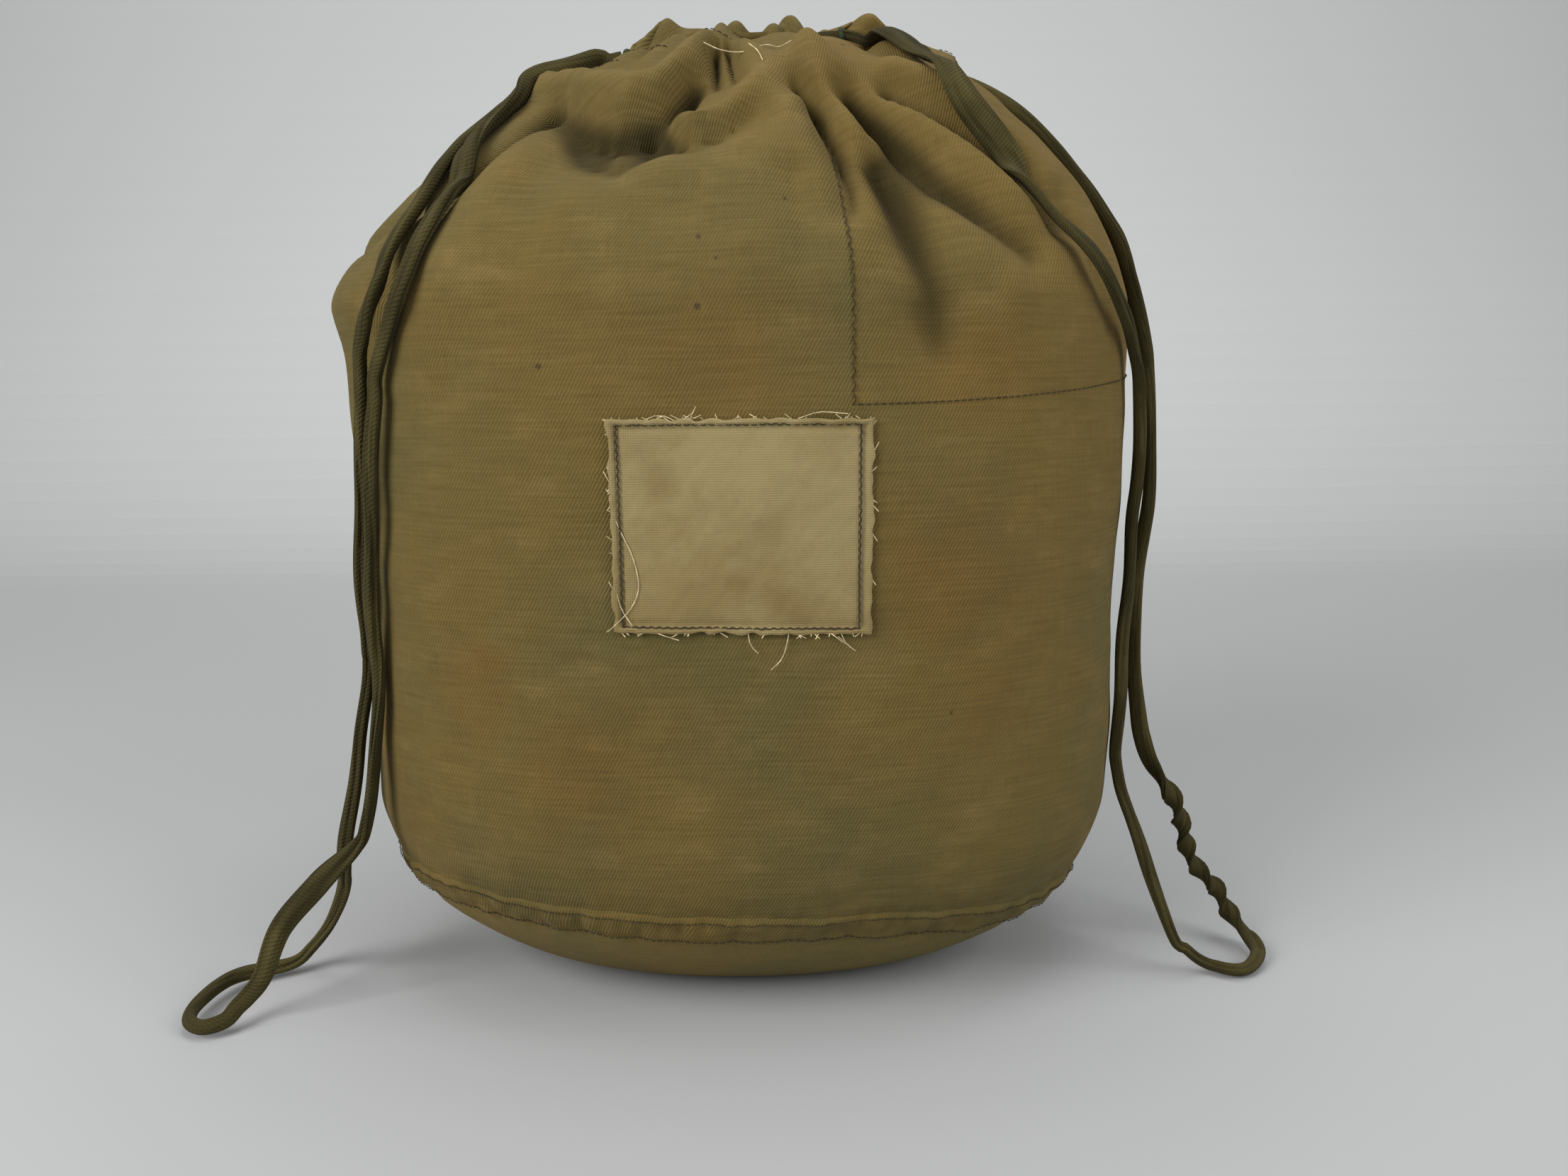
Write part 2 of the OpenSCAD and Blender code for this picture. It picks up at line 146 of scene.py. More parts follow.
def bell(distance, spread):
    return np.exp(-((distance / spread) ** 2))


def smoothstep(value, low, high):
    t = np.clip((value - low) / (high - low), 0.0, 1.0)
    return t * t * (3 - 2 * t)


def turn_between(angle, centre):
    """Degrees from centre to angle, the shorter way round."""
    return (angle - centre + 180) % 360 - 180


def ring(angle, a, b, square, z):
    """A rounded-rectangular ring of half-width a and half-depth b."""
    c, s = np.cos(np.radians(angle)), np.sin(np.radians(angle))
    reach = (np.abs(c) ** square + np.abs(s) ** square) ** (-1 / square)
    return np.stack([a * c * reach, b * s * reach, z + 0 * reach], axis=-1)


def crest_z(angle):
    f = form()
    saddle = CASING_LOW.z - 0.003
    power = np.where(np.cos(np.radians(angle)) < 0, LEFT_CREST_POWER, RIGHT_CREST_POWER)
    along = np.sin(np.radians(angle)) ** 2
    hump = f.crest_hump * bell(angle - CREST_HUMP_ANGLE, BULGE_TURN)
    return mix(saddle, f.crest_height, along ** power) + hump


def smooth_skin(angle, level):
    """A point of the form: level 0 to 1 turns up from the foot, then come side, shoulder and neck, to 4."""
    f = form()
    foot_a, foot_b = f.foot_width / 2, f.foot_depth / 2
    lower_a, belly_a, belly_b = f.lower_width / 2, f.belly_width / 2, f.belly_depth / 2
    stretch = np.clip(np.floor(level), 0, 3)
    s = level - stretch
    quarter = np.radians(90 * s)
    turned = np.sin(quarter) ** TURN_POWER
    foot = ring(angle, mix(foot_a, lower_a, turned), mix(foot_b, belly_b, turned),
                mix(FOOT_SQUARE, BELLY_SQUARE, s), f.turn_height * (1 - np.cos(quarter)))
    side = ring(angle, mix(lower_a, belly_a, np.sin(quarter)), belly_b + BELLY_FULLNESS * np.sin(2 * quarter),
                BELLY_SQUARE, mix(f.turn_height, f.shoulder_height, s))
    drawn = np.maximum(np.cos(quarter), 0) ** DRAW_IN_POWER
    saddle_a = np.where(np.cos(np.radians(angle)) < 0, LEFT_SADDLE_A, RIGHT_SADDLE_A)
    shoulder = ring(angle, mix(saddle_a, belly_a, drawn), mix(CREST_B, belly_b, drawn),
                    mix(BELLY_SQUARE, NECK_SQUARE, s * s),
                    mix(f.shoulder_height, crest_z(angle), np.sin(quarter) ** RISE_POWER))
    neck = ring(angle, mix(saddle_a, CASING_HIGH.x + NECK_GAP, s), mix(CREST_B, CASING_HIGH.y + NECK_GAP, s),
                NECK_SQUARE, mix(crest_z(angle), CASING_LOW.z - NECK_GAP, s))
    pick = stretch[..., None]
    return np.where(pick == 0, foot, np.where(pick == 1, side, np.where(pick == 2, shoulder, neck)))


def level_at(z):
    """The level at which the foot's turn or the side reaches a height."""
    f = form()
    turn = np.arccos(np.clip(1 - z / f.turn_height, -1, 1)) / (math.pi / 2)
    side = 1 + (z - f.turn_height) / (f.shoulder_height - f.turn_height)
    return np.where(z < f.turn_height, turn, side)


def skin_normal(angle, level):
    """The outward direction of the smooth form."""
    low = np.maximum(level - 0.01, np.floor(np.minimum(level, MOUTH_LEVEL)))
    high = np.minimum(level + 0.01, np.floor(np.minimum(level, MOUTH_LEVEL)) + 0.9999)
    normal = np.cross(smooth_skin(angle + 0.5, level) - smooth_skin(angle - 0.5, level),
                      smooth_skin(angle, high) - smooth_skin(angle, low))
    return normal / np.maximum(np.linalg.norm(normal, axis=-1, keepdims=True), 1e-12)


# ---- Folds: lines on the front (x, z in millimetres), each raised or sunk along its length ----
# (line, depth in millimetres at its two ends, width in millimetres at its two ends)
FRONT_FOLDS = {
    "deep_crease": ([(21, 322), (29, 313), (35, 300), (38, 288), (40, 280)], (-15, -6), (4, 6)),
    "big_ridge": ([(3, 337), (14, 327), (21, 314), (28, 300), (31, 284), (30, 262)], (6, 1), (7, 18)),
    "shadow_valley": ([(39, 321), (48, 312), (57, 302), (68, 291), (82, 280), (99, 268)], (-18, -9), (6, 10)),
    "lower_branch": ([(23, 331), (33, 319), (42, 303), (45, 291), (45, 279)], (6, 3), (5, 7)),
    "soft_valley": ([(47, 296), (53, 282), (60, 269), (65, 254), (67, 239)], (-15, -5), (8, 12)),
    "between_ridge": ([(50, 304), (67, 288), (80, 274), (91, 256)], (4, 2), (6, 14)),
    "upper_ridge": ([(25, 334), (41, 324), (59, 315), (75, 303), (89, 289), (102, 270)], (7, 3), (5, 10)),
    "upper_valley": ([(53, 323), (69, 314), (87, 303), (104, 287), (110, 279)], (-13, -7), (5, 7)),
    "cord_ridge": ([(55, 330), (72, 322), (89, 309), (106, 295), (117, 273)], (5, 1), (6, 9)),
    "left_valley": ([(-60, 321), (-49, 311), (-39, 308), (-27, 311), (-17, 318), (-13, 325)],
                    (-8, -14), (8, 5)),
    "left_roll": ([(-64, 328), (-46, 324), (-32, 321), (-23, 324), (-15, 332), (-9, 339)], (6, 7), (7, 5)),
    "left_slit": ([(-6, 338), (-4, 325)], (-12, -5), (2.6, 3)),
    "right_slit": ([(-1, 338), (3, 326)], (-11, -5), (2.4, 3)),
    "slit_rib": ([(-3, 339), (-1, 326)], (3, 1), (2.2, 3)),
    "pocket_lip": ([(-22, 314), (-12, 309), (-2, 311), (8, 320)], (5, 4), (4, 5)),
    "pocket_shadow": ([(-22, 306), (-12, 302), (-1, 304), (8, 312)], (-7, -5), (4, 6)),
    "curl": ([(20, 322), (24, 314), (19, 311)], (4, 3), (2.6, 3)),
    "belly_swell": ([(-47, 283), (-33, 289), (-19, 297), (-2, 296), (12, 285), (14, 263)], (3, 2), (13, 20)),
    "left_hollow": ([(-58, 314), (-49, 301), (-36, 296), (-25, 303)], (-6, -7), (9, 8)),
    "small_hollow": ([(21, 291), (23, 277), (22, 260)], (-5, -2), (7, 10)),
    "left_crease": ([(-64, 320), (-74, 308), (-86, 293), (-97, 278), (-106, 264), (-115, 248), (-122, 233)],
                    (-9, -3), (4, 6)),
    "left_shoulder": ([(-56, 318), (-66, 302), (-78, 284), (-90, 266), (-100, 246)], (4, 2), (10, 15)),
    "bulge_crease": ([(-139, 265), (-122, 274), (-104, 283)], (-4, -4), (2.6, 3.2)),
    "left_dimple": ([(-127, 240), (-126, 226)], (-4, -2), (8, 8)),
    "right_pleat": ([(112, 286), (121, 268), (127, 250), (129, 232)], (-4, -1), (5, 8)),
    "right_pull": ([(60, 246), (66, 232), (69, 214)], (-2.5, -0.5), (9, 12)),
}
BACK_FOLDS = {
    "middle_valley": ([(4, 340), (8, 320), (10, 296), (6, 262)], (-7, -1), (5, 14)),
    "middle_ridge": ([(-10, 340), (-14, 318), (-18, 292), (-20, 262)], (5, 1), (7, 18)),
    "left_crease": ([(-26, 336), (-38, 314), (-50, 292), (-58, 266)], (-8, -2), (5, 12)),
    "left_fold": ([(-42, 334), (-60, 312), (-76, 288), (-86, 262)], (5, 1), (7, 14)),
    "far_left_crease": ([(-60, 330), (-80, 308), (-98, 282), (-108, 256)], (-6, -2), (6, 10)),
    "right_crease": ([(26, 342), (36, 322), (44, 300), (52, 268)], (-8, -2), (5, 13)),
    "right_fold": ([(42, 350), (56, 330), (68, 306), (78, 276)], (5, 1), (7, 15)),
    "far_right_crease": ([(62, 346), (80, 322), (94, 298), (106, 268)], (-7, -2), (6, 11)),
    "hump_fold": ([(78, 344), (96, 318), (110, 292)], (4, 1), (7, 10)),
    "hump": ([(58, 352), (78, 345), (96, 330), (112, 308)], (7, 6), (14, 18)),
}


def lengths_along(line):
    """Length from the line's start to each of its points."""
    return np.concatenate([[0], np.cumsum(np.linalg.norm(np.diff(line, axis=0), axis=1))])


def points_at(where, line):
    """Points of the line at lengths from its start."""
    lengths = lengths_along(line)
    return np.stack([np.interp(where, lengths, line[:, k]) for k in range(3)], axis=1)


def nearest_on_line(points, line):
    """Distance of each point from a polyline, and how far along it the nearest place is, from 0 to 1."""
    best = np.full(len(points), np.inf)
    along = np.zeros(len(points))
    lengths = np.linalg.norm(np.diff(line, axis=0), axis=1)
    total, start = lengths.sum(), 0.0
    for a, b, length in zip(line[:-1], line[1:], lengths):
        t = np.clip(((points - a) @ (b - a)) / length ** 2, 0, 1)
        distance = np.linalg.norm(points - (a + t[:, None] * (b - a)), axis=1)
        nearer = distance < best
        best = np.where(nearer, distance, best)
        along = np.where(nearer, (start + t * length) / total, along)
        start += length
    return best, along


def nearest_places(places, side):
    """Angles and levels nearest to places (x, z) in millimetres on the front (side -1) or back (side 1)."""
    angle, level = np.meshgrid(np.linspace(0, 180, 241) * side, np.linspace(0.3, 3.2, 500))
    grid = smooth_skin(angle % 360, level).reshape(-1, 3)
    found = []
    for x, z in places:
        found.append(((grid[:, 0] - x * MM) ** 2 + (grid[:, 2] - z * MM) ** 2).argmin())
    return angle.ravel()[found] % 360, level.ravel()[found]


def line_on_form(places, side):
    """Places (x, z) in millimetres on the front or back, as points of the smooth form."""
    return smooth_skin(*nearest_places(places, side))


LINES = []
VALLEY_POWER = 1.3
# Waves of one unevenness: how many are added, and how much their lengths differ
WAVE_COUNT = 7
WAVE_SPREAD = (0.6, 1.4)
# Gathers at the mouth: the levels where they start and are full, then folds round and depth in millimetres
GATHER_LEVELS = (2.55, 3.0)
BROAD_GATHERS, BROAD_DEPTH = 20, 1.9
NARROW_GATHERS, NARROW_DEPTH = 33, 0.9
# Puckers at the base seam, and unevenness all over: depth in millimetres, wave length in metres, seed
PUCKER_REACH = 0.011
PUCKERS = ((0.45, 0.011, 41), (0.35, 0.006, 42))
UNEVEN = ((0.9, 0.10, 11), (0.28, 0.028, 12))
CRINKLE_DEPTH, CRINKLE_LENGTH, CRINKLE_SEED = 0.10, 0.011, 13
# Steps to each side of a point when the folded cloth's direction is measured
ANGLE_STEP, LEVEL_STEP = 0.25, 0.006


def prepare_folds():
    """All fold lines as points of the form, once."""
    return [(line_on_form(line, side), depth, width)
            for folds, side in ((FRONT_FOLDS, -1), (BACK_FOLDS, 1)) for line, depth, width in folds.values()]


def waves(points, length, seed, stretch=(1, 1, 1)):
    """Smooth, repeatable unevenness of about one unit, with waves of about the given length."""
    draw = np.random.default_rng(seed)
    total = np.zeros(len(points))
    for _ in range(WAVE_COUNT):
        direction = draw.normal(size=3)
        direction /= np.linalg.norm(direction)
        pace = 2 * math.pi / length * draw.uniform(*WAVE_SPREAD)
        total += np.sin((points * np.array(stretch)) @ direction * pace + draw.uniform(0, 2 * math.pi))
    return total / math.sqrt(WAVE_COUNT)


def gathers(angle, level):
    """Narrow folds where the mouth is drawn in, uneven in pitch."""
    warped = angle + 3.5 * np.sin(np.radians(3 * angle + 40)) + 2 * np.sin(np.radians(7 * angle))
    growth = smoothstep(level, *GATHER_LEVELS) * np.where(level > 3, mix(1.0, 0.3, level - 3), 1.0)
    free = np.minimum(1, 3 * np.sin(np.radians(angle)) ** 2)
    broad = np.cos(np.radians(BROAD_GATHERS * warped))
    narrow = np.cos(np.radians(NARROW_GATHERS * warped + 50))
    return growth * free * (BROAD_DEPTH * broad + NARROW_DEPTH * narrow)


def seam_height(x):
    """Height of the base seam, lower at the right than at the left."""
    return form().seam_height - SEAM_TILT * x


def seam_puckers(points):
    """Small crossways puckers along the base seam."""
    near = bell(points[:, 2] - seam_height(points[:, 0]), PUCKER_REACH)
    crossways = (1, 1, 0.2)
    return near * sum(depth * waves(points, length, seed, crossways) for depth, length, seed in PUCKERS)


def relief(points, angle, level):
    """How far the cloth stands out from the smooth form, in metres."""
    total = gathers(angle, level)
    for line, depth, width in LINES:
        distance, along = nearest_on_line(points, line)
        away = distance / (mix(width[0], width[1], along) * MM)
        profile = np.exp(-(away ** (2 if depth[0] > 0 else VALLEY_POWER)))
        total = total + mix(depth[0], depth[1], along) * profile
    body = smoothstep(points[:, 2], 0.004, 0.05)
    total = total + body * sum(depth * waves(points, length, seed) for depth, length, seed in UNEVEN)
    crinkles = body * CRINKLE_DEPTH * waves(points, CRINKLE_LENGTH, CRINKLE_SEED, (1, 1, 0.5))
    total = total + crinkles + seam_puckers(points)
    corner = sum(bell(turn_between(angle, centre), BULGE_TURN) for centre in CORNER_ANGLES)
    total = total * MM + form().corner_bulge * corner * bell(points[:, 2] - CORNER_HEIGHT, CORNER_REACH)
    side = bell(turn_between(angle, SIDE_BULGE_ANGLE), BULGE_TURN)
    return total + form().side_bulge * side * bell(points[:, 2] - SIDE_BULGE_HEIGHT, SIDE_BULGE_REACH)


def cloth_point(angle, level):
    """Points of the folded cloth and how far each stands out."""
    shape = np.broadcast(angle, level).shape
    angle = np.broadcast_to(angle, shape).ravel().astype(float)
    level = np.broadcast_to(level, shape).ravel().astype(float)
    points = smooth_skin(angle, level)
    out = relief(points, angle % 360, level)
    moved = points + out[:, None] * skin_normal(angle, level)
    return moved.reshape(shape + (3,)), out.reshape(shape)


def cloth_normal(angle, level):
    """The outward direction of the folded cloth."""
    right, _ = cloth_point(angle + ANGLE_STEP, level)
    left, _ = cloth_point(angle - ANGLE_STEP, level)
    high, _ = cloth_point(angle, level + LEVEL_STEP)
    low, _ = cloth_point(angle, level - LEVEL_STEP)
    normal = np.cross(right - left, high - low)
    return normal / np.maximum(np.linalg.norm(normal, axis=-1, keepdims=True), 1e-12)


# ---- Making pieces ----
def deselect_all():
    if bpy.context.object and bpy.context.object.mode != "OBJECT":
        bpy.ops.object.mode_set(mode="OBJECT")
    bpy.ops.object.select_all(action="DESELECT")


def select_only(piece):
    deselect_all()
    piece.select_set(True)
    bpy.context.view_layer.objects.active = piece


def vertex_places(piece):
    flat = np.zeros(len(piece.data.vertices) * 3)
    piece.data.vertices.foreach_get("co", flat)
    return flat.reshape(-1, 3)


def grid_piece(name, columns, rows, place, keep=None):
    """A grid primitive bent onto place(u, v), which gives each vertex its point and its stand-out."""
    deselect_all()
    bpy.ops.mesh.primitive_grid_add(x_subdivisions=columns, y_subdivisions=rows, size=1)
    piece = bpy.context.object
    piece.name = piece.data.name = name
    if keep is not None:
        bpy.ops.object.mode_set(mode="EDIT")
        bpy.ops.mesh.select_all(action="DESELECT")
        bpy.ops.object.mode_set(mode="OBJECT")
        drop = [not keep(face.center.x + 0.5, face.center.y + 0.5) for face in piece.data.polygons]
        piece.data.polygons.foreach_set("select", drop)
        bpy.ops.object.mode_set(mode="EDIT")
        bpy.ops.mesh.select_mode(type="FACE")
        bpy.ops.mesh.delete(type="FACE")
        bpy.ops.object.mode_set(mode="OBJECT")
    u, v = (vertex_places(piece)[:, :2] + 0.5).T
    points, stands_out = place(u, v)
    piece.data.vertices.foreach_set("co", points.ravel())
    attribute = piece.data.attributes.new("stands_out", "FLOAT", "POINT")
    attribute.data.foreach_set("value", stands_out.astype(np.float32))
    piece.data.update()
    return piece


def set_uv(piece, u, v):
    """The piece's UV map, in metres of cloth."""
    layer = piece.data.uv_layers[0] if piece.data.uv_layers else piece.data.uv_layers.new(name="UVMap")
    corners = np.zeros(len(piece.data.loops), int)
    piece.data.loops.foreach_get("vertex_index", corners)
    layer.data.foreach_set("uv", np.stack([u[corners], v[corners]], axis=1).ravel())


def apply_modifier(piece, kind, **settings):
    select_only(piece)
    modifier = piece.modifiers.new(kind.title(), kind)
    for key, value in settings.items():
        setattr(modifier, key, value)
    bpy.ops.object.modifier_apply(modifier=modifier.name)


SHARP_ANGLE = math.radians(58)
MERGE_DISTANCE = 0.00002


def finish_piece(piece, material, slot, body, *nodes):
    """Gives a piece its finish and body, and hides the CAD nodes that it stands in for."""
    piece.data.materials.clear()
    piece.data.materials.append(material)
    select_only(piece)
    bpy.ops.object.shade_smooth_by_angle(angle=SHARP_ANGLE)
    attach(piece, body)
    if nodes:
        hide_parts(*nodes)
    return piece


def mesh_piece(name, points, faces):
    """A new object from points and faces."""
    mesh = bpy.data.meshes.new(name)
    mesh.from_pydata([tuple(p) for p in points], [], [tuple(f) for f in faces])
    mesh.update()
    piece = bpy.data.objects.new(name, mesh)
    bpy.context.collection.objects.link(piece)
    return piece


def tube_faces(first, rings, sides):
    """Faces of a closed tube whose rings of points start at number first."""
    faces = []
    for i in range(rings - 1):
        for j in range(sides):
            a, b = first + i * sides + j, first + i * sides + (j + 1) % sides
            faces.append((a, b, b + sides, a + sides))
    faces.append(tuple(first + j for j in range(sides - 1, -1, -1)))
    faces.append(tuple(first + (rings - 1) * sides + j for j in range(sides)))
    return faces


def add_tube(points, faces, line, radius, sides):
    """Adds a closed tube along a line to lists of points and faces."""
    along = np.gradient(np.asarray(line), axis=0)
    along /= np.maximum(np.linalg.norm(along, axis=1, keepdims=True), 1e-12)
    across = np.cross(along, (0.13, -0.97, 0.2))
    across /= np.maximum(np.linalg.norm(across, axis=1, keepdims=True), 1e-12)
    up = np.cross(along, across)
    first = len(points)
    for place, a, b in zip(line, across, up):
        for j in range(sides):
            q = 2 * math.pi * j / sides
            points.append(place + radius * (math.cos(q) * a + math.sin(q) * b))
    faces.extend(tube_faces(first, len(line), sides))


def face_outward(piece, merged=False):
    """Turns the faces outward, after joining the piece's open edges if it is closed on itself."""
    select_only(piece)
    bpy.ops.object.mode_set(mode="EDIT")
    bpy.ops.mesh.select_all(action="SELECT")
    if merged:
        bpy.ops.mesh.remove_doubles(threshold=MERGE_DISTANCE)
    bpy.ops.mesh.normals_make_consistent(inside=False)
    bpy.ops.object.mode_set(mode="OBJECT")


# ---- Materials ----
class Nodes:
    """A short way to build one material's node tree."""

    def __init__(self, name):
        self.material = bpy.data.materials.new(name)
        self.material.use_nodes = True
        self.tree = self.material.node_tree
        self.shader = self.tree.nodes["Principled BSDF"]

    def add(self, kind, inputs=None, **settings):
        node = self.tree.nodes.new(kind)
        for key, value in settings.items():
            setattr(node, key, value)
        for key, value in (inputs or {}).items():
            self.put(node.inputs[key], value)
        return node

    def put(self, socket, value):
        if isinstance(value, bpy.types.NodeSocket):
            self.tree.links.new(value, socket)
        else:
            socket.default_value = value

    def maths(self, operation, a, b):
        return self.add("ShaderNodeMath", {0: a, 1: b}, operation=operation).outputs[0]

    def noise(self, vector, scale, detail=3.0, roughness=0.5):
        return self.add("ShaderNodeTexNoise", {"Vector": vector, "Scale": scale, "Detail": detail,
                                               "Roughness": roughness}).outputs["Fac"]

    def ramp(self, factor, low, high, from_value=0.0, to_value=1.0):
        """Maps a range of the factor onto another, with a soft start and end."""
        return self.add("ShaderNodeMapRange", {"Value": factor, "From Min": low, "From Max": high,
                                               "To Min": from_value, "To Max": to_value},
                        interpolation_type="SMOOTHSTEP").outputs["Result"]

    def blend(self, factor, a, b, mode="MIX"):
        node = self.add("ShaderNodeMix", data_type="RGBA", blend_type=mode)
        self.put(node.inputs[0], factor)
        for index, colour in ((6, a), (7, b)):
            self.put(node.inputs[index], (*colour, 1.0) if isinstance(colour, (tuple, list)) else colour)
        return node.outputs[2]

    def shaded(self, colour, shade):
        """The colour made darker or lighter by a shade of about 1."""
        grey = self.add("ShaderNodeCombineColor", {0: shade, 1: shade, 2: shade}).outputs[0]
        return self.blend(1.0, colour, grey, "MULTIPLY")

    def place(self, vector, scale=(1, 1, 1), turn=0.0, shift=(0, 0, 0)):
        return self.add("ShaderNodeMapping", {"Vector": vector, "Scale": scale, "Location": shift,
                                              "Rotation": (0, 0, turn)}).outputs["Vector"]

    def bump(self, height, distance, strength=1.0, normal=None):
        node = self.add("ShaderNodeBump", {"Height": height, "Distance": distance, "Strength": strength})
        if normal is not None:
            self.put(node.inputs["Normal"], normal)
        return node.outputs["Normal"]


def spot(n, place, centre, radius, edge=0.6):
    """A soft round mask about a place of the object."""
    away = n.add("ShaderNodeVectorMath", {0: place, 1: centre}, operation="DISTANCE").outputs["Value"]
    return n.ramp(away, radius, radius * (1 - edge))


def twill_material(name, green=0.0, stained=True, painted_light_gain=1.0):
    """Washed khaki cotton twill: fine diagonal weave, slubs, mottling and stains, with a painted highlight on
    fold ridges and a painted shade in fold valleys.
    """
    c = finish()
    n = Nodes(name)
    coordinates = n.add("ShaderNodeTexCoord")
    cloth, place = coordinates.outputs["UV"], coordinates.outputs["Object"]
    broad = n.noise(place, 13, 5, 0.55)
    middle = n.noise(n.place(place, (1, 1, 1.8), 0, (3, 1, 2)), 42, 6, 0.62)
    # Khaki and olive are multiplied by the last argument. Above 1, as for the base, this is painted light
    # that stands in for light the piece does not get
    khaki, olive = (tuple(painted_light_gain * x for x in shade) for shade in (c.khaki, c.olive))
    colour = n.blend(n.ramp(broad, 0.34 - green, 0.72 - green), khaki, olive)
    colour = n.blend(n.maths("MULTIPLY", n.ramp(middle, 0.46, 0.78), 0.34), colour, tuple(c.sand))
    if stained:
        ragged = n.add("ShaderNodeTexNoise", {"Vector": place, "Scale": 60.0, "Detail": 4.0}).outputs["Color"]
        reach = (STAIN_DRIFT,) * 3
        shift = n.add("ShaderNodeVectorMath", {0: ragged, 1: reach}, operation="MULTIPLY").outputs[0]
        drift = n.add("ShaderNodeVectorMath", {0: place, 1: shift}).outputs[0]
        for centre, radius, share in STAINS:
            shifted = tuple(x + STAIN_DRIFT / 2 for x in centre)
            mask = n.maths("MULTIPLY", spot(n, drift, shifted, radius, 0.9), share)
            colour = n.blend(mask, colour, tuple(c.rust))
        for where, radius in SPOTS:
            centre, _ = cloth_point(*nearest_places([where], -1))
            mask = n.maths("MULTIPLY", spot(n, place, tuple(centre[0]), radius * MM), 0.6)
            colour = n.blend(mask, colour, SPOT_COLOUR)
    stands_out = n.add("ShaderNodeAttribute", attribute_name="stands_out").outputs["Fac"]
    # Painted highlight: the cloth pales towards sand on its fold ridges, where light falls
    painted_highlight = n.maths("MULTIPLY", n.ramp(stands_out, *PAINTED_HIGHLIGHT_HEIGHTS), PAINTED_HIGHLIGHT_SHARE)
    colour = n.blend(painted_highlight, colour, tuple(c.sand))
    # Painted shade: the cloth darkens towards a dark olive in its fold valleys, where shade falls
    painted_shade = n.maths("MULTIPLY", n.ramp(stands_out, *PAINTED_SHADE_DEPTHS), PAINTED_SHADE_SHARE)
    colour = n.blend(painted_shade, colour, tuple(PAINTED_SHADE_DARKNESS * x for x in c.olive))
    slubs = n.noise(n.place(cloth, (40, 1000, 1)), 1.0, 3, 0.6)
    threads = n.noise(n.place(cloth, (1600, 90, 1)), 1.0, 2, 0.5)
    shade = n.maths("ADD", n.ramp(slubs, 0.3, 0.72, 0.86, 1.06), n.ramp(threads, 0.3, 0.7, -0.04, 0.04))
    n.put(n.shader.inputs["Base Color"], n.shaded(colour, shade))
    n.put(n.shader.inputs["Roughness"], n.ramp(middle, 0.3, 0.7, 0.82, 0.95))
    n.shader.inputs["Sheen Weight"].default_value = CLOTH_SHEEN
    n.shader.inputs["Sheen Roughness"].default_value = 0.5
    n.shader.inputs["Specular IOR Level"].default_value = CLOTH_SHINE
    weave = n.add("ShaderNodeTexWave", {"Vector": n.place(cloth, (1, 1, 1), math.radians(28)), "Scale": 300.0,
                                        "Distortion": 0.6, "Detail": 1.0}, bands_direction="X").outputs["Fac"]
    normal = n.bump(weave, 0.00035, 0.5)
    normal = n.bump(slubs, 0.0004, 0.4, normal)
    crinkle = n.noise(place, 150, 4, 0.6)
    n.put(n.shader.inputs["Normal"], n.bump(crinkle, 0.0012, 0.3, normal))
    return n.material


def tape_material():
    """Olive twill tape: diagonal ribs and uneven, worn fading."""
    c = finish()
    n = Nodes("olive_twill_tape")
    coordinates = n.add("ShaderNodeTexCoord")
    cloth, place = coordinates.outputs["UV"], coordinates.outputs["Object"]
    faded = n.noise(place, 26, 4, 0.6)
    worn = tuple(1.6 * x for x in c.tape)
    colour = n.blend(n.ramp(faded, 0.42, 0.72), tuple(c.tape), worn)
    ribs = n.add("ShaderNodeTexWave", {"Vector": n.place(cloth, (1, 1, 1), math.radians(32)), "Scale": 260.0,
                                       "Distortion": 2.0, "Detail": 2.0}, bands_direction="X").outputs["Fac"]
    folds = n.noise(n.place(cloth, (22, 420, 1)), 1.0, 3, 0.6)
    # The fold noise darkens the tape in the hollows of its folds and lightens it on their crests: painted
    # shade and painted highlight
    shade = n.maths("MULTIPLY", n.ramp(ribs, 0.1, 0.9, 0.90, 1.06), n.ramp(folds, 0.32, 0.6, 0.6, 1.12))
    n.put(n.shader.inputs["Base Color"], n.shaded(colour, shade))
    n.shader.inputs["Roughness"].default_value = 0.85
    n.shader.inputs["Sheen Weight"].default_value = CLOTH_SHEEN
    n.shader.inputs["Specular IOR Level"].default_value = CLOTH_SHINE
    normal = n.bump(ribs, 0.0004, 0.5)
    normal = n.bump(folds, 0.0014, 0.8, normal)
    n.put(n.shader.inputs["Normal"], n.bump(n.noise(place, 500, 3), 0.0005, 0.4, normal))
    return n.material


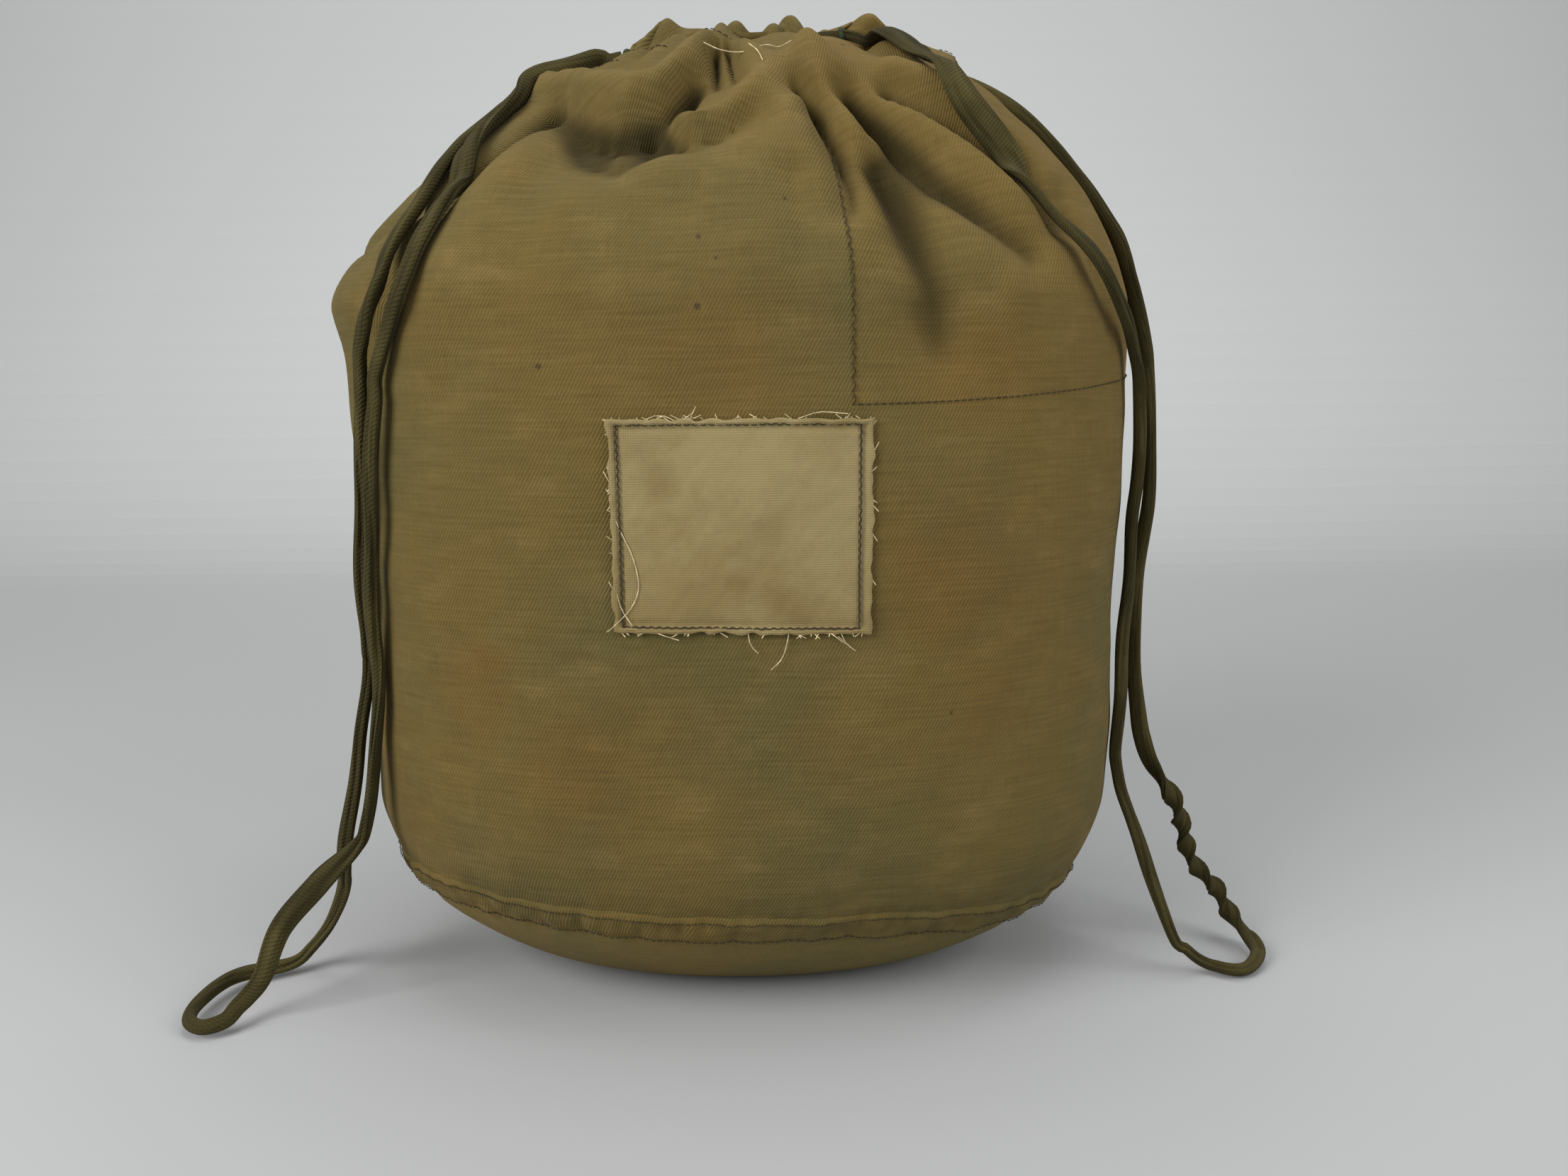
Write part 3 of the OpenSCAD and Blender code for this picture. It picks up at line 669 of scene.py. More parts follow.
def label_material():
    """Unbleached plain-weave cotton, stained and blank."""
    c = finish()
    n = Nodes("stained_label_cotton")
    coordinates = n.add("ShaderNodeTexCoord")
    cloth, place = coordinates.outputs["UV"], coordinates.outputs["Object"]
    dirty = tuple(x * y for x, y in zip(c.label, (0.80, 0.74, 0.66)))
    bright = tuple(c.label)
    colour = n.blend(n.ramp(n.noise(place, 26, 6, 0.62), 0.38, 0.66), bright, dirty)
    flecks = n.noise(n.place(place, (1, 1, 2.2), 0, (4, 0, 7)), 60, 5, 0.7)
    colour = n.blend(n.maths("MULTIPLY", n.ramp(flecks, 0.56, 0.70), 0.22), colour, (0.15, 0.13, 0.08))
    stain = tuple(x * y for x, y in zip(c.label, (0.55, 0.44, 0.32)))
    for centre, radius in LABEL_STAINS:
        colour = n.blend(n.maths("MULTIPLY", spot(n, place, centre, radius, 0.9), 0.4), colour, stain)
    yarns = {"Vector": cloth, "Scale": 420.0, "Distortion": 0.8}
    warp, weft = (n.add("ShaderNodeTexWave", yarns, bands_direction=way).outputs["Fac"] for way in "XY")
    weave = n.maths("MULTIPLY", warp, weft)
    n.put(n.shader.inputs["Base Color"], colour)
    n.shader.inputs["Roughness"].default_value = 0.92
    n.shader.inputs["Sheen Weight"].default_value = CLOTH_SHEEN
    n.shader.inputs["Specular IOR Level"].default_value = CLOTH_SHINE
    normal = n.bump(weave, 0.0003, 0.6)
    n.put(n.shader.inputs["Normal"], n.bump(n.noise(place, 160, 4), 0.0012, 0.35, normal))
    return n.material


def thread_material(name, colour):
    """Twisted cotton thread."""
    n = Nodes(name)
    place = n.add("ShaderNodeTexCoord").outputs["Object"]
    light = tuple(min(1.0, 1.8 * x) for x in colour)
    n.put(n.shader.inputs["Base Color"], n.blend(n.ramp(n.noise(place, 420, 3), 0.4, 0.65), colour, light))
    n.shader.inputs["Roughness"].default_value = 0.8
    n.shader.inputs["Specular IOR Level"].default_value = 0.25
    n.put(n.shader.inputs["Normal"], n.bump(n.noise(place, 2600, 2), 0.0003, 0.6))
    return n.material


CLOTH_SHEEN = 0.02
CLOTH_SHINE = 0.08
# Heights above and below the smooth form, in metres, over which a painted highlight is laid on fold ridges
# and a painted shade in fold valleys
PAINTED_HIGHLIGHT_HEIGHTS, PAINTED_HIGHLIGHT_SHARE = (0.0015, 0.006), 0.25
PAINTED_SHADE_DEPTHS, PAINTED_SHADE_SHARE = (-0.0028, -0.0095), 0.80
# Darkness of the painted shade in the fold valleys, as a share of the olive colour
PAINTED_SHADE_DARKNESS = 0.22
# Stains: centre in metres, radius and how strong; spots: place (x, z) and radius in millimetres
STAIN_DRIFT = 0.03
SPOT_COLOUR = (0.03, 0.025, 0.015)
STAINS = [
    ((-0.088, -0.085, 0.128), 0.024, 0.40), ((-0.079, -0.088, 0.137), 0.014, 0.40),
    ((-0.118, -0.062, 0.075), 0.026, 0.25), ((0.072, -0.095, 0.165), 0.046, 0.55),
    ((0.000, -0.100, 0.238), 0.044, 0.40), ((-0.052, -0.098, 0.100), 0.034, 0.40),
    ((0.080, -0.090, 0.232), 0.032, 0.35), ((0.085, -0.092, 0.120), 0.022, 0.35),
    ((0.030, -0.098, 0.105), 0.022, 0.25), ((-0.020, 0.098, 0.150), 0.034, 0.25),
    ((0.090, 0.080, 0.210), 0.028, 0.25),
]
SPOTS = [
    ((-9, 271), 1.1), ((-9.5, 249.5), 1.5), ((18, 282), 0.9), ((-60, 232), 1.4), ((-4, 264), 0.8),
    ((70, 120), 1.0),
]
LABEL_STAINS = [
    ((0.014, -0.1015, 0.1575), 0.010), ((0.002, -0.1015, 0.1640), 0.008), ((0.022, -0.1010, 0.1530), 0.007),
    ((-0.022, -0.1015, 0.1950), 0.009),
]


# ---- Rows of the cloth ----
def seam_level(angle):
    x = smooth_skin(angle, np.full(np.shape(angle), SEAM_LEVEL))[..., 0]
    return level_at(seam_height(x))


def insert_level(angle):
    """Level of the seam under the pieced panel, rising a little to the right."""
    rise = INSERT_RISE * smoothstep(angle, INSERT_ANGLE, 360.0)
    return level_at(form().insert_height + np.where(angle > 180, rise, 0.0))


def panel_level(angle, v, low_share):
    """Level of a panel's row: the lower share of rows ends at the pieced panel's seam."""
    low, middle = seam_level(angle), insert_level(angle)
    return np.where(v <= low_share, mix(low, middle, v / low_share),
                    mix(middle, MOUTH_LEVEL, ((v - low_share) / (1 - low_share))))


ARC_ANGLES = np.linspace(0, 360, 721)
LEVELS = np.linspace(0, 4, 401)


def cloth_lengths():
    """Lengths round the belly and up the middle of the front, which the cloth's UV map follows."""
    belly = smooth_skin(ARC_ANGLES, np.full(721, 1.5))
    front = smooth_skin(np.full(401, 270.0), np.minimum(LEVELS, MOUTH_LEVEL))
    return lengths_along(belly), lengths_along(front)


def cloth_uv(angle, level):
    round_belly, up_front = cloth_lengths()
    return np.interp(angle, ARC_ANGLES, round_belly), np.interp(level, LEVELS, up_front)


LOW_ROWS = 66
HIGH_ROWS = 104
LOW_SHARE = LOW_ROWS / (LOW_ROWS + HIGH_ROWS)


def panel(name, start, end, columns, keep=None):
    """A cloth panel between two angles, from the base seam to the mouth."""
    seen = {}

    def place(u, v):
        angle = mix(start, end, u)
        level = panel_level(angle, v, LOW_SHARE)
        seen["uv"] = cloth_uv(angle, level)
        return cloth_point(angle, level)

    piece = grid_piece(name, columns, LOW_ROWS + HIGH_ROWS, place, keep)
    set_uv(piece, *seen["uv"])
    return piece


def strip(name, places, across, lift, columns, rows):
    """A narrow band of cloth sewn on: places(u, v) gives angles and levels; its long edges turn down."""
    seen = {}

    def place(u, v):
        angle, level = places(u, v)
        seen["uv"] = cloth_uv(angle, level)
        points, out = cloth_point(angle, level)
        edge = np.abs((u if across == "u" else v) * 2 - 1)
        height = lift * (1 - smoothstep(edge, 0.72, 1.0)) + 0.00005
        return points + height[:, None] * cloth_normal(angle, level), out

    piece = grid_piece(name, columns, rows, place)
    set_uv(piece, *seen["uv"])
    return piece


# ---- Stitching ----
# Share of the stitch's length, arch and girth of each ring, as parts of the thread's thickness
STITCH_RINGS = [
    (0.0, -0.55, 0.45), (0.14, 0.25, 0.95), (0.5, 0.55, 1.0), (0.86, 0.25, 0.95), (1.0, -0.55, 0.45),
]
STITCH_SIDES = 6


def stitch_points(start, end, normal, thickness):
    """Rings of one stitch from start to end, arched along the normal."""
    along = end - start
    across = np.cross(normal, along)
    across /= np.maximum(np.linalg.norm(across, axis=-1, keepdims=True), 1e-12)
    rings = []
    for share, arch, girth in STITCH_RINGS:
        centre = start + share * along + arch * thickness * normal
        for side in range(STITCH_SIDES):
            turn = 2 * math.pi * side / STITCH_SIDES
            rings.append(centre + girth * thickness / 2 * (math.cos(turn) * across + math.sin(turn) * normal))
    return np.stack(rings, axis=1)


def stitch_run(name, points, normals, material, body, nodes, stitch=1.9 * MM, gap=0.5 * MM, thick=0.38 * MM,
               wander=0.0):
    """Separate stitches along one or more lines, as one piece."""
    starts, ends, ups = [], [], []
    for line, up in zip(points, normals):
        lengths = lengths_along(line)
        count = max(1, int(lengths[-1] / (stitch + gap)))
        begin = np.arange(count) * lengths[-1] / count
        side = np.where(np.arange(count) % 2, wander, -wander)[:, None] * np.array((1.0, 0, 0))
        starts.append(points_at(begin, line) + side)
        ends.append(points_at(begin + stitch, line) - side)
        middle = np.stack([np.interp(begin + stitch / 2, lengths, up[:, k]) for k in range(3)], axis=1)
        ups.append(middle / np.linalg.norm(middle, axis=1, keepdims=True))
    block = stitch_points(np.concatenate(starts), np.concatenate(ends), np.concatenate(ups), thick)
    ring_count = len(STITCH_RINGS)
    faces = []
    for i in range(len(block)):
        faces.extend(tube_faces(i * ring_count * STITCH_SIDES, ring_count, STITCH_SIDES))
    piece = mesh_piece(name, block.reshape(-1, 3), faces)
    return finish_piece(piece, material, "thread", body, *nodes)


def line_on_cloth(angle, level, lift):
    """A line of the folded cloth, raised by lift, and its outward directions."""
    angle, level = np.broadcast_arrays(np.asarray(angle, float), np.asarray(level, float))
    points, _ = cloth_point(angle, level)
    normal = cloth_normal(angle, level)
    return points + lift * normal, normal


# ---- Drawstrings: routes in millimetres, as in the construction, but laid into the folds near the mouth ----
RIGHT_ROUTE = [
    (50, -12, 348), (56, -24, 342), (64, -37, 332), (73, -49, 322), (83, -57, 311), (93, -62, 300),
    (103, -65, 290), (111, -68, 280), (118, -70, 269), (125, -69, 258), (133, -60, 247),
    (139, -50, 237), (142, -47, 227), (143, -44, 210), (143, -42, 189), (142, -41, 168), (141, -41, 99),
    (142, -41, 82), (146, -41, 64), (162, -45, 18), (168, -46, 11), (177, -43, 4), (185, -47, 4),
    (192, -45, 4), (199, -36, 4), (200, -27, 5), (198, -19, 8), (194, -16, 14), (190, -14, 21),
    (183, -13, 28), (178, -12, 36), (175, -10, 51), (170, -9, 62), (164, -8, 71), (160, -7, 81),
    (158, -6, 94), (156, -5, 129), (159, -5, 166), (159, -6, 186), (155, -10, 227), (152, -12, 243),
    (143, -15, 271), (135, -16, 285), (116, -15, 310), (96, -10, 331), (84, -2, 344), (72, 5, 350),
    (59, 10, 351),
]
LEFT_ROUTE = [
    (-53, -11, 344), (-60, -17, 340), (-68, -25, 332), (-76, -36, 320), (-83, -50, 306), (-87, -62, 295),
    (-89, -72, 287), (-92, -79, 279), (-102, -86, 258), (-107, -84, 248), (-116, -78, 231),
    (-117, -78, 221), (-121, -75, 195), (-124, -71, 154), (-128, -66, 115), (-134, -63, 74), (-139, -62, 62),
    (-155, -62, 48), (-168, -66, 33), (-174, -70, 17), (-179, -71, 10), (-182, -74, 7), (-184, -80, 5),
    (-191, -83, 4), (-198, -78, 4), (-201, -68, 4), (-199, -55, 4), (-193, -45, 4), (-178, -37, 4),
    (-171, -35, 9), (-162, -39, 19), (-156, -43, 30), (-151, -47, 43), (-148, -51, 56), (-133, -58, 125),
    (-131, -62, 139), (-126, -70, 195), (-123, -72, 232), (-121, -74, 241), (-117, -78, 249),
    (-112, -79, 259), (-109, -75, 270), (-101, -66, 286), (-92, -54, 303), (-84, -42, 316),
    (-76, -29, 328), (-69, -16, 336), (-63, -4, 341), (-58, 6, 343),
]
EXIT_X = 0.0406
EXIT_Y = 0.0095
STRAIGHT_EXIT = 0.006
RIGHT_EXIT_Z = 0.348
LEFT_EXIT_Z = 0.3415
TAPE_HALF_WIDTH = 0.0028
TAPE_HALF_THICKNESS = 0.0021
FLAT_HALF_WIDTH = 0.0042
FLAT_HALF_THICKNESS = 0.0015
CORD_STEP = 0.0016
TAPE_GAP = 0.0008
# Shares of a tape's length: laid on the cloth from each end, opened flat, and twisted
LAID_SHARE = 0.16
NONE_OF_IT = (2.0, 3.0)
RIGHT_FLAT, RIGHT_TWISTED = (-0.1, 0.16), (0.50, 0.62)
LEFT_FLAT, LEFT_TWISTED = (0.36, 0.49), NONE_OF_IT
TWIST_PITCH = 0.022
CORD_WAVER = 0.0007
# Distances from the cloth: the tape's broad side faces away from cloth it lies on, and hanging free the front
LYING_DISTANCE, FREE_DISTANCE = 0.01, 0.03
HANGING_FACING = (0, -0.9, 0.45)
LOOP_FACING = (0.15, -0.9, 0.4)
CORD_SIDES = 24


def even_points(points, step):
    """The same line with evenly spaced points."""
    total = lengths_along(points)[-1]
    return points_at(np.linspace(0, total, max(2, int(round(total / step)) + 1)), points)


def rounded_line(points, step):
    """A smooth curve through the points."""
    first, last = 2 * points[0] - points[1], 2 * points[-1] - points[-2]
    p = np.vstack([first, points, last])
    t = np.linspace(0, 1, 24, endpoint=False)[:, None]
    parts = []
    for a, b, c, d in zip(p[:-3], p[1:-2], p[2:-1], p[3:]):
        bend, swing = 2 * a - 5 * b + 4 * c - d, 3 * b - a - 3 * c + d
        parts.append(0.5 * (2 * b + (c - a) * t + bend * t ** 2 + swing * t ** 3))
    return even_points(np.vstack(parts + [points[-1:]]), step)


def wavering(line, seed):
    """The line with the small waves of soft tape, its ends held."""
    share = np.linspace(0, 1, len(line))
    free = (smoothstep(share, 0.02, 0.06) * smoothstep(1 - share, 0.02, 0.06))[:, None]
    shift = np.stack([waves(line, 0.045, seed * 3 + axis) for axis in range(3)], axis=1)
    return line + CORD_WAVER * free * shift


def softened(values, times):
    """The values smoothed along a line, its two ends held."""
    for _ in range(times):
        values = np.vstack([values[:1], (values[:-2] + 2 * values[1:-1] + values[2:]) / 4, values[-1:]])
    return values


def cloth_tree():
    """The cloth as a search tree, which keeps other pieces out of it."""
    angle, level = np.meshgrid(np.linspace(0, 360, 541), np.linspace(0.12, 3.7, 220))
    points, _ = cloth_point(angle, level)
    rows, columns = angle.shape
    number = np.arange(rows * columns).reshape(rows, columns)
    faces = np.stack([number[:-1, :-1], number[:-1, 1:], number[1:, 1:], number[1:, :-1]], axis=-1)
    return BVHTree.FromPolygons([Vector(p) for p in points.reshape(-1, 3)], faces.reshape(-1, 4).tolist())


def clear_of_cloth(line, tree, gap, rounds=14):
    """The line kept out of the cloth and floor and laid down near the mouth, and its outward directions."""
    start = line.copy()
    share = np.linspace(0, 1, len(line))
    top = smoothstep(np.maximum(share, 1 - share), 1 - LAID_SHARE, 1 - 0.6 * LAID_SHARE)
    for turn in range(rounds):
        for i in range(4, len(line) - 4):
            place, normal, _, _ = tree.find_nearest(Vector(line[i]))
            height = (Vector(line[i]) - place).dot(normal)
            if height < gap and (Vector(line[i]) - place).length < 0.03:
                line[i] += np.array(normal) * (gap - height)
            elif top[i] > 0 and turn < rounds - 2:
                line[i] -= np.array(normal) * 0.4 * top[i] * min(height - gap, 0.012)
            line[i][2] = max(line[i][2], gap)
        if turn < rounds - 1:
            line = start + softened(line - start, 3)
    out = np.zeros_like(line)
    for i, point in enumerate(line):
        place, normal, _, distance = tree.find_nearest(Vector(point))
        near = float(np.clip((FREE_DISTANCE - distance) / (FREE_DISTANCE - LYING_DISTANCE), 0, 1))
        out[i] = near * np.array(normal) + (1 - near) * np.array(HANGING_FACING)
    return line, softened(out, 12)


def within(share, part):
    """1 inside a part of the length and 0 outside, with soft ends."""
    low, high = part
    return float(smoothstep(share, low, low + 0.04) * (1 - smoothstep(share, high - 0.04, high)))


def tape_section(share, twist, flat, fullness):
    """Points of the tape's rolled section, as parts across and outward."""
    turn = np.linspace(0, 2 * math.pi, CORD_SIDES, endpoint=False)
    wide = fullness * mix(TAPE_HALF_WIDTH, FLAT_HALF_WIDTH, flat)
    thick = mix(TAPE_HALF_THICKNESS, FLAT_HALF_THICKNESS, flat)
    girth = np.ones(CORD_SIDES)
    outer_lip = math.pi / 2 + 0.9 * math.sin(11 * share + 1) + 0.35 * math.sin(37 * share)
    inner_lip = math.pi / 2 - 1.1 + 0.6 * math.sin(17 * share + 2)
    for lip, depth in ((outer_lip, 0.34), (inner_lip, 0.20)):
        apart = (turn - lip + math.pi) % (2 * math.pi) - math.pi
        girth = girth - depth * mix(1.0, 0.4, flat) * bell(apart, 0.24) + 0.10 * bell(apart - 0.55, 0.4)
    across, out = wide * girth * np.cos(turn), thick * girth * np.sin(turn)
    return across * math.cos(twist) - out * math.sin(twist), across * math.sin(twist) + out * math.cos(twist)


def tape_along(name, line, out, flat_part=NONE_OF_IT, twisted_part=NONE_OF_IT, facing=None):
    """A rolled tape along a line, flat over one share of its length and twisted over another."""
    if facing is not None:
        turned = np.array([within(i / (len(line) - 1), flat_part) for i in range(len(line))])[:, None]
        out = mix(out, np.array(facing), turned)
    along = np.gradient(line, axis=0)
    along /= np.linalg.norm(along, axis=1, keepdims=True)
    out = out - (out * along).sum(axis=1, keepdims=True) * along
    out /= np.linalg.norm(out, axis=1, keepdims=True)
    across = np.cross(out, along)
    points = []
    spin = 0.0
    for i, place in enumerate(line):
        share = i / (len(line) - 1)
        flat = within(share, flat_part)
        spin += within(share, twisted_part) * 2 * math.pi * CORD_STEP / TWIST_PITCH
        twist = (1 - flat) * (0.55 * math.sin(19 * share + 0.6) + 0.35 * math.sin(43 * share)) + spin
        fullness = 1 + 0.16 * math.sin(23 * share + 0.5) + 0.10 * math.sin(61 * share + 1.7)
        fullness += 0.24 * within(share, (-0.1, 0.2)) * (1 - flat) + 0.30 * within(share, twisted_part)
        a, b = tape_section(share, twist, flat, fullness)
        points.append(place + a[:, None] * across[i] + b[:, None] * out[i])
    points = np.array(points)
    count = len(line)
    piece = mesh_piece(name, points.reshape(-1, 3), tube_faces(0, count, CORD_SIDES))
    face_outward(piece)
    lengths = np.repeat(np.arange(count) * np.linalg.norm(line[1] - line[0]), CORD_SIDES)
    around = np.tile(np.arange(CORD_SIDES) * 2 * math.pi * TAPE_HALF_WIDTH / CORD_SIDES, count)
    set_uv(piece, lengths, around)
    return piece


class BAG_OT_camera(bpy.types.Operator):
    """Add the camera that looks at the bag's front"""

    bl_idname = "duffel_bag.camera"
    bl_label = "Camera"

    def execute(self, context):
        data = bpy.data.cameras.new("photo_camera")
        data.sensor_width = 36.0
        data.lens = 36.0 * FOCAL_PIXELS / PHOTO_WIDTH
        camera = bpy.data.objects.new("photo_camera", data)
        context.collection.objects.link(camera)
        camera.location = CAMERA_PLACE
        tilt = Euler((math.radians(90 - CAMERA_DOWN), 0, 0)).to_matrix()
        roll = Euler((0, 0, -math.radians(CAMERA_ROLL))).to_matrix()
        camera.rotation_euler = (tilt @ roll).to_euler()
        context.scene.camera = camera
        return {"FINISHED"}


FOCAL_PIXELS = 1700.0
CAMERA_PLACE = (0.016, -0.476, 0.228)
CAMERA_DOWN = 9.95
CAMERA_ROLL = 0.65


class BAG_OT_drawstrings(bpy.types.Operator):
    """Lay the two drawstrings of rolled twill tape down the bag's sides"""

    bl_idname = "duffel_bag.drawstrings"
    bl_label = "Drawstrings"

    def execute(self, context):
        tree = cloth_tree()
        material = tape_material()
        for word, side, route, exit_z, flat, twisted in (
                ("right", 1, RIGHT_ROUTE, RIGHT_EXIT_Z, RIGHT_FLAT, RIGHT_TWISTED),
                ("left", -1, LEFT_ROUTE, LEFT_EXIT_Z, LEFT_FLAT, LEFT_TWISTED)):
            ends = [(side * x, -EXIT_Y, exit_z) for x in (EXIT_X, EXIT_X + STRAIGHT_EXIT)]
            back = [(x, -y, z) for x, y, z in reversed(ends)]
            points = np.array(ends + [tuple(c * MM for c in point) for point in route] + back)
            line = wavering(rounded_line(points, CORD_STEP), 81 + side)
            line, out = clear_of_cloth(line, tree, TAPE_HALF_THICKNESS + TAPE_GAP)
            facing = LOOP_FACING if word == "left" else None
            loop = tape_along(f"{word}_drawstring_tape", line, out, flat, twisted, facing)
            finish_piece(loop, material, "tape", f"{word}_drawstring", f"drawstring_{word}_loop")
            inside = self.inside_line(side, exit_z)
            run = tape_along(f"{word}_drawstring_in_casing", inside, np.tile((0, 0, 1.0), (len(inside), 1)))
            finish_piece(run, material, "tape", f"{word}_drawstring", f"drawstring_{word}_run")
        return {"FINISHED"}

    def inside_line(self, side, exit_z):
        """The hidden line of the tape through the casing."""
        far = -side * 0.020
        corners = [(side * EXIT_X, -EXIT_Y), (far, -EXIT_Y), (far - side * 0.0035, -EXIT_Y + 0.004),
                   (far - side * 0.0035, EXIT_Y - 0.004), (far, EXIT_Y), (side * EXIT_X, EXIT_Y)]
        return rounded_line(np.array([(x, y, exit_z) for x, y in corners]), CORD_STEP)


# The front's columns are a multiple of 12, so that one of them ends at the pieced panel's upright seam
FRONT_COLUMNS, BACK_COLUMNS, BASE_COLUMNS, BASE_ROWS = 336, 264, 528, 40
FLOOR_SHARE = 0.18
PIECED_GREEN = -0.12
# The second number lightens the base's twill as painted light, standing in for the light that reaches its
# underside from the floor
BASE_GREEN, BASE_PAINTED_LIGHT_GAIN = 0.04, 1.35


class BAG_OT_cloth(bpy.types.Operator):
    """Make the bag's front, pieced, back and base panels"""

    bl_idname = "duffel_bag.cloth"
    bl_label = "Cloth panels"

    def execute(self, context):
        twill = twill_material("khaki_twill")
        pieced = twill_material("khaki_twill_pieced", PIECED_GREEN)
        base_twill = twill_material("khaki_twill_base", BASE_GREEN, False, BASE_PAINTED_LIGHT_GAIN)
        share = (INSERT_ANGLE - 180) / 180
        seam_column = round(FRONT_COLUMNS * share)

        def left_or_low(u, v):
            return u < seam_column / FRONT_COLUMNS or v < LOW_SHARE

        front = panel("front_twill", 180, 360, FRONT_COLUMNS, left_or_low)
        insert = self.insert(round(FRONT_COLUMNS * (1 - share)))
        back = panel("back_twill", 0, 180, BACK_COLUMNS)
        base = self.base()
        for piece, material, slot, node in ((front, twill, "twill", "front_panel"),
                                            (insert, pieced, "twill_pieced", "front_insert_panel"),
                                            (back, twill, "twill", "back_panel"),
                                            (base, base_twill, "twill", "base_panel")):
            apply_modifier(piece, "SOLIDIFY", thickness=form().cloth, offset=-1)
            finish_piece(piece, material, slot, "bag", node)
        return {"FINISHED"}

    def insert(self, columns):
        seen = {}

        def place(u, v):
            angle = mix(INSERT_ANGLE, 360, u)
            level = mix(insert_level(angle), MOUTH_LEVEL, v)
            seen["uv"] = cloth_uv(angle, level)
            return cloth_point(angle, level)

        piece = grid_piece("pieced_twill", columns, HIGH_ROWS, place)
        set_uv(piece, *seen["uv"])
        return piece

    def base(self):
        seen = {}

        def place(u, v):
            angle = 360 * u
            turn = np.clip((v - FLOOR_SHARE) / (1 - FLOOR_SHARE), 0, 1)
            level = seam_level(angle) * turn
            points, out = cloth_point(angle, level)
            inner = np.clip(v / FLOOR_SHARE, 0.0, 1.0)[:, None]
            points = points * np.where(v[:, None] < FLOOR_SHARE, inner, 1.0)
            points[:, 2] = np.maximum(points[:, 2], 0.0)
            seen["uv"] = points[:, 0].copy(), points[:, 1] - level * 0.08
            return points, out

        piece = grid_piece("base_twill", BASE_COLUMNS, BASE_ROWS, place)
        set_uv(piece, *seen["uv"])
        face_outward(piece, True)
        return piece


SEAM_WIDTH = 0.012
SEAM_CLOTH = 0.0008
SEAM_TOP_LEVEL = 3.9
BASE_SEAM_LIFT, SIDE_SEAM_LIFT = 0.0012, 0.0011


def degree_length(centre, level):
    """Length of one degree round the form, at a side seam."""
    wide = smooth_skin(np.full(len(level), centre + 0.5), level)
    narrow = smooth_skin(np.full(len(level), centre - 0.5), level)
    return np.linalg.norm(wide - narrow, axis=1)


def seam_row_level(angle, away):
    """Level of a row at a distance above the middle of the base seam."""
    x = smooth_skin(angle, np.full(len(angle), SEAM_LEVEL))[:, 0]
    return level_at(seam_height(x) + away)


class BAG_OT_seams(bpy.types.Operator):
    """Sew the felled seams at the base and down both sides"""

    bl_idname = "duffel_bag.seams"
    bl_label = "Felled seams"

    def execute(self, context):
        material = twill_material("khaki_twill_seam", -0.05, False)

        def base_band(u, v):
            return 360 * u, seam_row_level(360 * u, SEAM_WIDTH * (v - 0.5))

        band = strip("base_seam_twill", base_band, "v", BASE_SEAM_LIFT, 720, 12)
        face_outward(band, True)
        apply_modifier(band, "SOLIDIFY", thickness=SEAM_CLOTH, offset=-1)
        finish_piece(band, material, "seam", "bag", "base_seam")
        for word, centre in (("right", 0.0), ("left", 180.0)):
            def side_band(u, v, centre=centre):
                bottom = seam_level(np.full(len(u), centre))
                level = mix(bottom, SEAM_TOP_LEVEL, v)
                return centre + (u - 0.5) * SEAM_WIDTH / degree_length(centre, level), level

            seam = strip(f"{word}_seam_twill", side_band, "u", SIDE_SEAM_LIFT, 12, 210)
            apply_modifier(seam, "SOLIDIFY", thickness=SEAM_CLOTH, offset=-1)
            finish_piece(seam, material, "seam", "bag", f"side_seam_{word}")
        return {"FINISHED"}


# ---- The drawn hem ----
# From the outside bottom over the rim into the mouth: share of the way, half width, half depth and height
CASING_PROFILE = [
    (0.00, 0.0380, 0.0150, 0.3345), (0.18, 0.0386, 0.0156, 0.3400), (0.36, 0.0380, 0.0150, 0.3462),
    (0.48, 0.0362, 0.0136, 0.3505), (0.56, 0.0335, 0.0116, 0.3524), (0.64, 0.0290, 0.0090, 0.3522),
    (0.74, 0.0215, 0.0062, 0.3508), (0.84, 0.0170, 0.0040, 0.3470), (1.00, 0.0150, 0.0030, 0.3380),
]
# Where the front rim rises or dips: place across in metres, spread and height
RIM_CHANGES = [
    (-0.025, 0.004, 0.0034), (-0.016, 0.006, -0.0010), (0.009, 0.0045, -0.0040), (0.020, 0.0040, 0.0032),
    (0.029, 0.0040, -0.0016),
]
LEFT_END_DROP = 0.0045


def casing_point(angle, share):
    """Points of the gathered hem."""
    table = np.array(CASING_PROFILE)
    a, b, z = (np.interp(share, table[:, 0], table[:, k]) for k in (1, 2, 3))
    warped = angle + 7 * np.sin(np.radians(2 * angle + 20)) + 4 * np.sin(np.radians(5 * angle))
    pleat = np.cos(np.radians(19 * warped)) + 0.45 * np.cos(np.radians(31 * warped + 60))
    depth = np.interp(share, [0, 0.25, 0.5, 0.8, 1], [0.3, 1.0, 1.3, 1.2, 0.6])
    sideways = np.abs(np.sin(np.radians(angle)))
    fold = 1.15 * MM * pleat * depth * mix(0.35, 1.0, sideways)
    points = ring(angle, a + 0.6 * fold, b + fold, NECK_SQUARE, z)
    rise = smoothstep(share, 0.25, 0.55) * (1 - 0.5 * smoothstep(share, 0.7, 1.0))
    change = sum(height * bell(points[:, 0] - x, spread) for x, spread, height in RIM_CHANGES)
    front = smoothstep(-np.sin(np.radians(angle)), -0.3, 0.4)
    points[:, 2] += rise * (front * change + 0.9 * MM * waves(points, 0.018, 21) + 0.55 * MM * pleat)
    points[:, 2] -= rise * LEFT_END_DROP * smoothstep(-points[:, 0], 0.022, 0.037)
    return points, fold


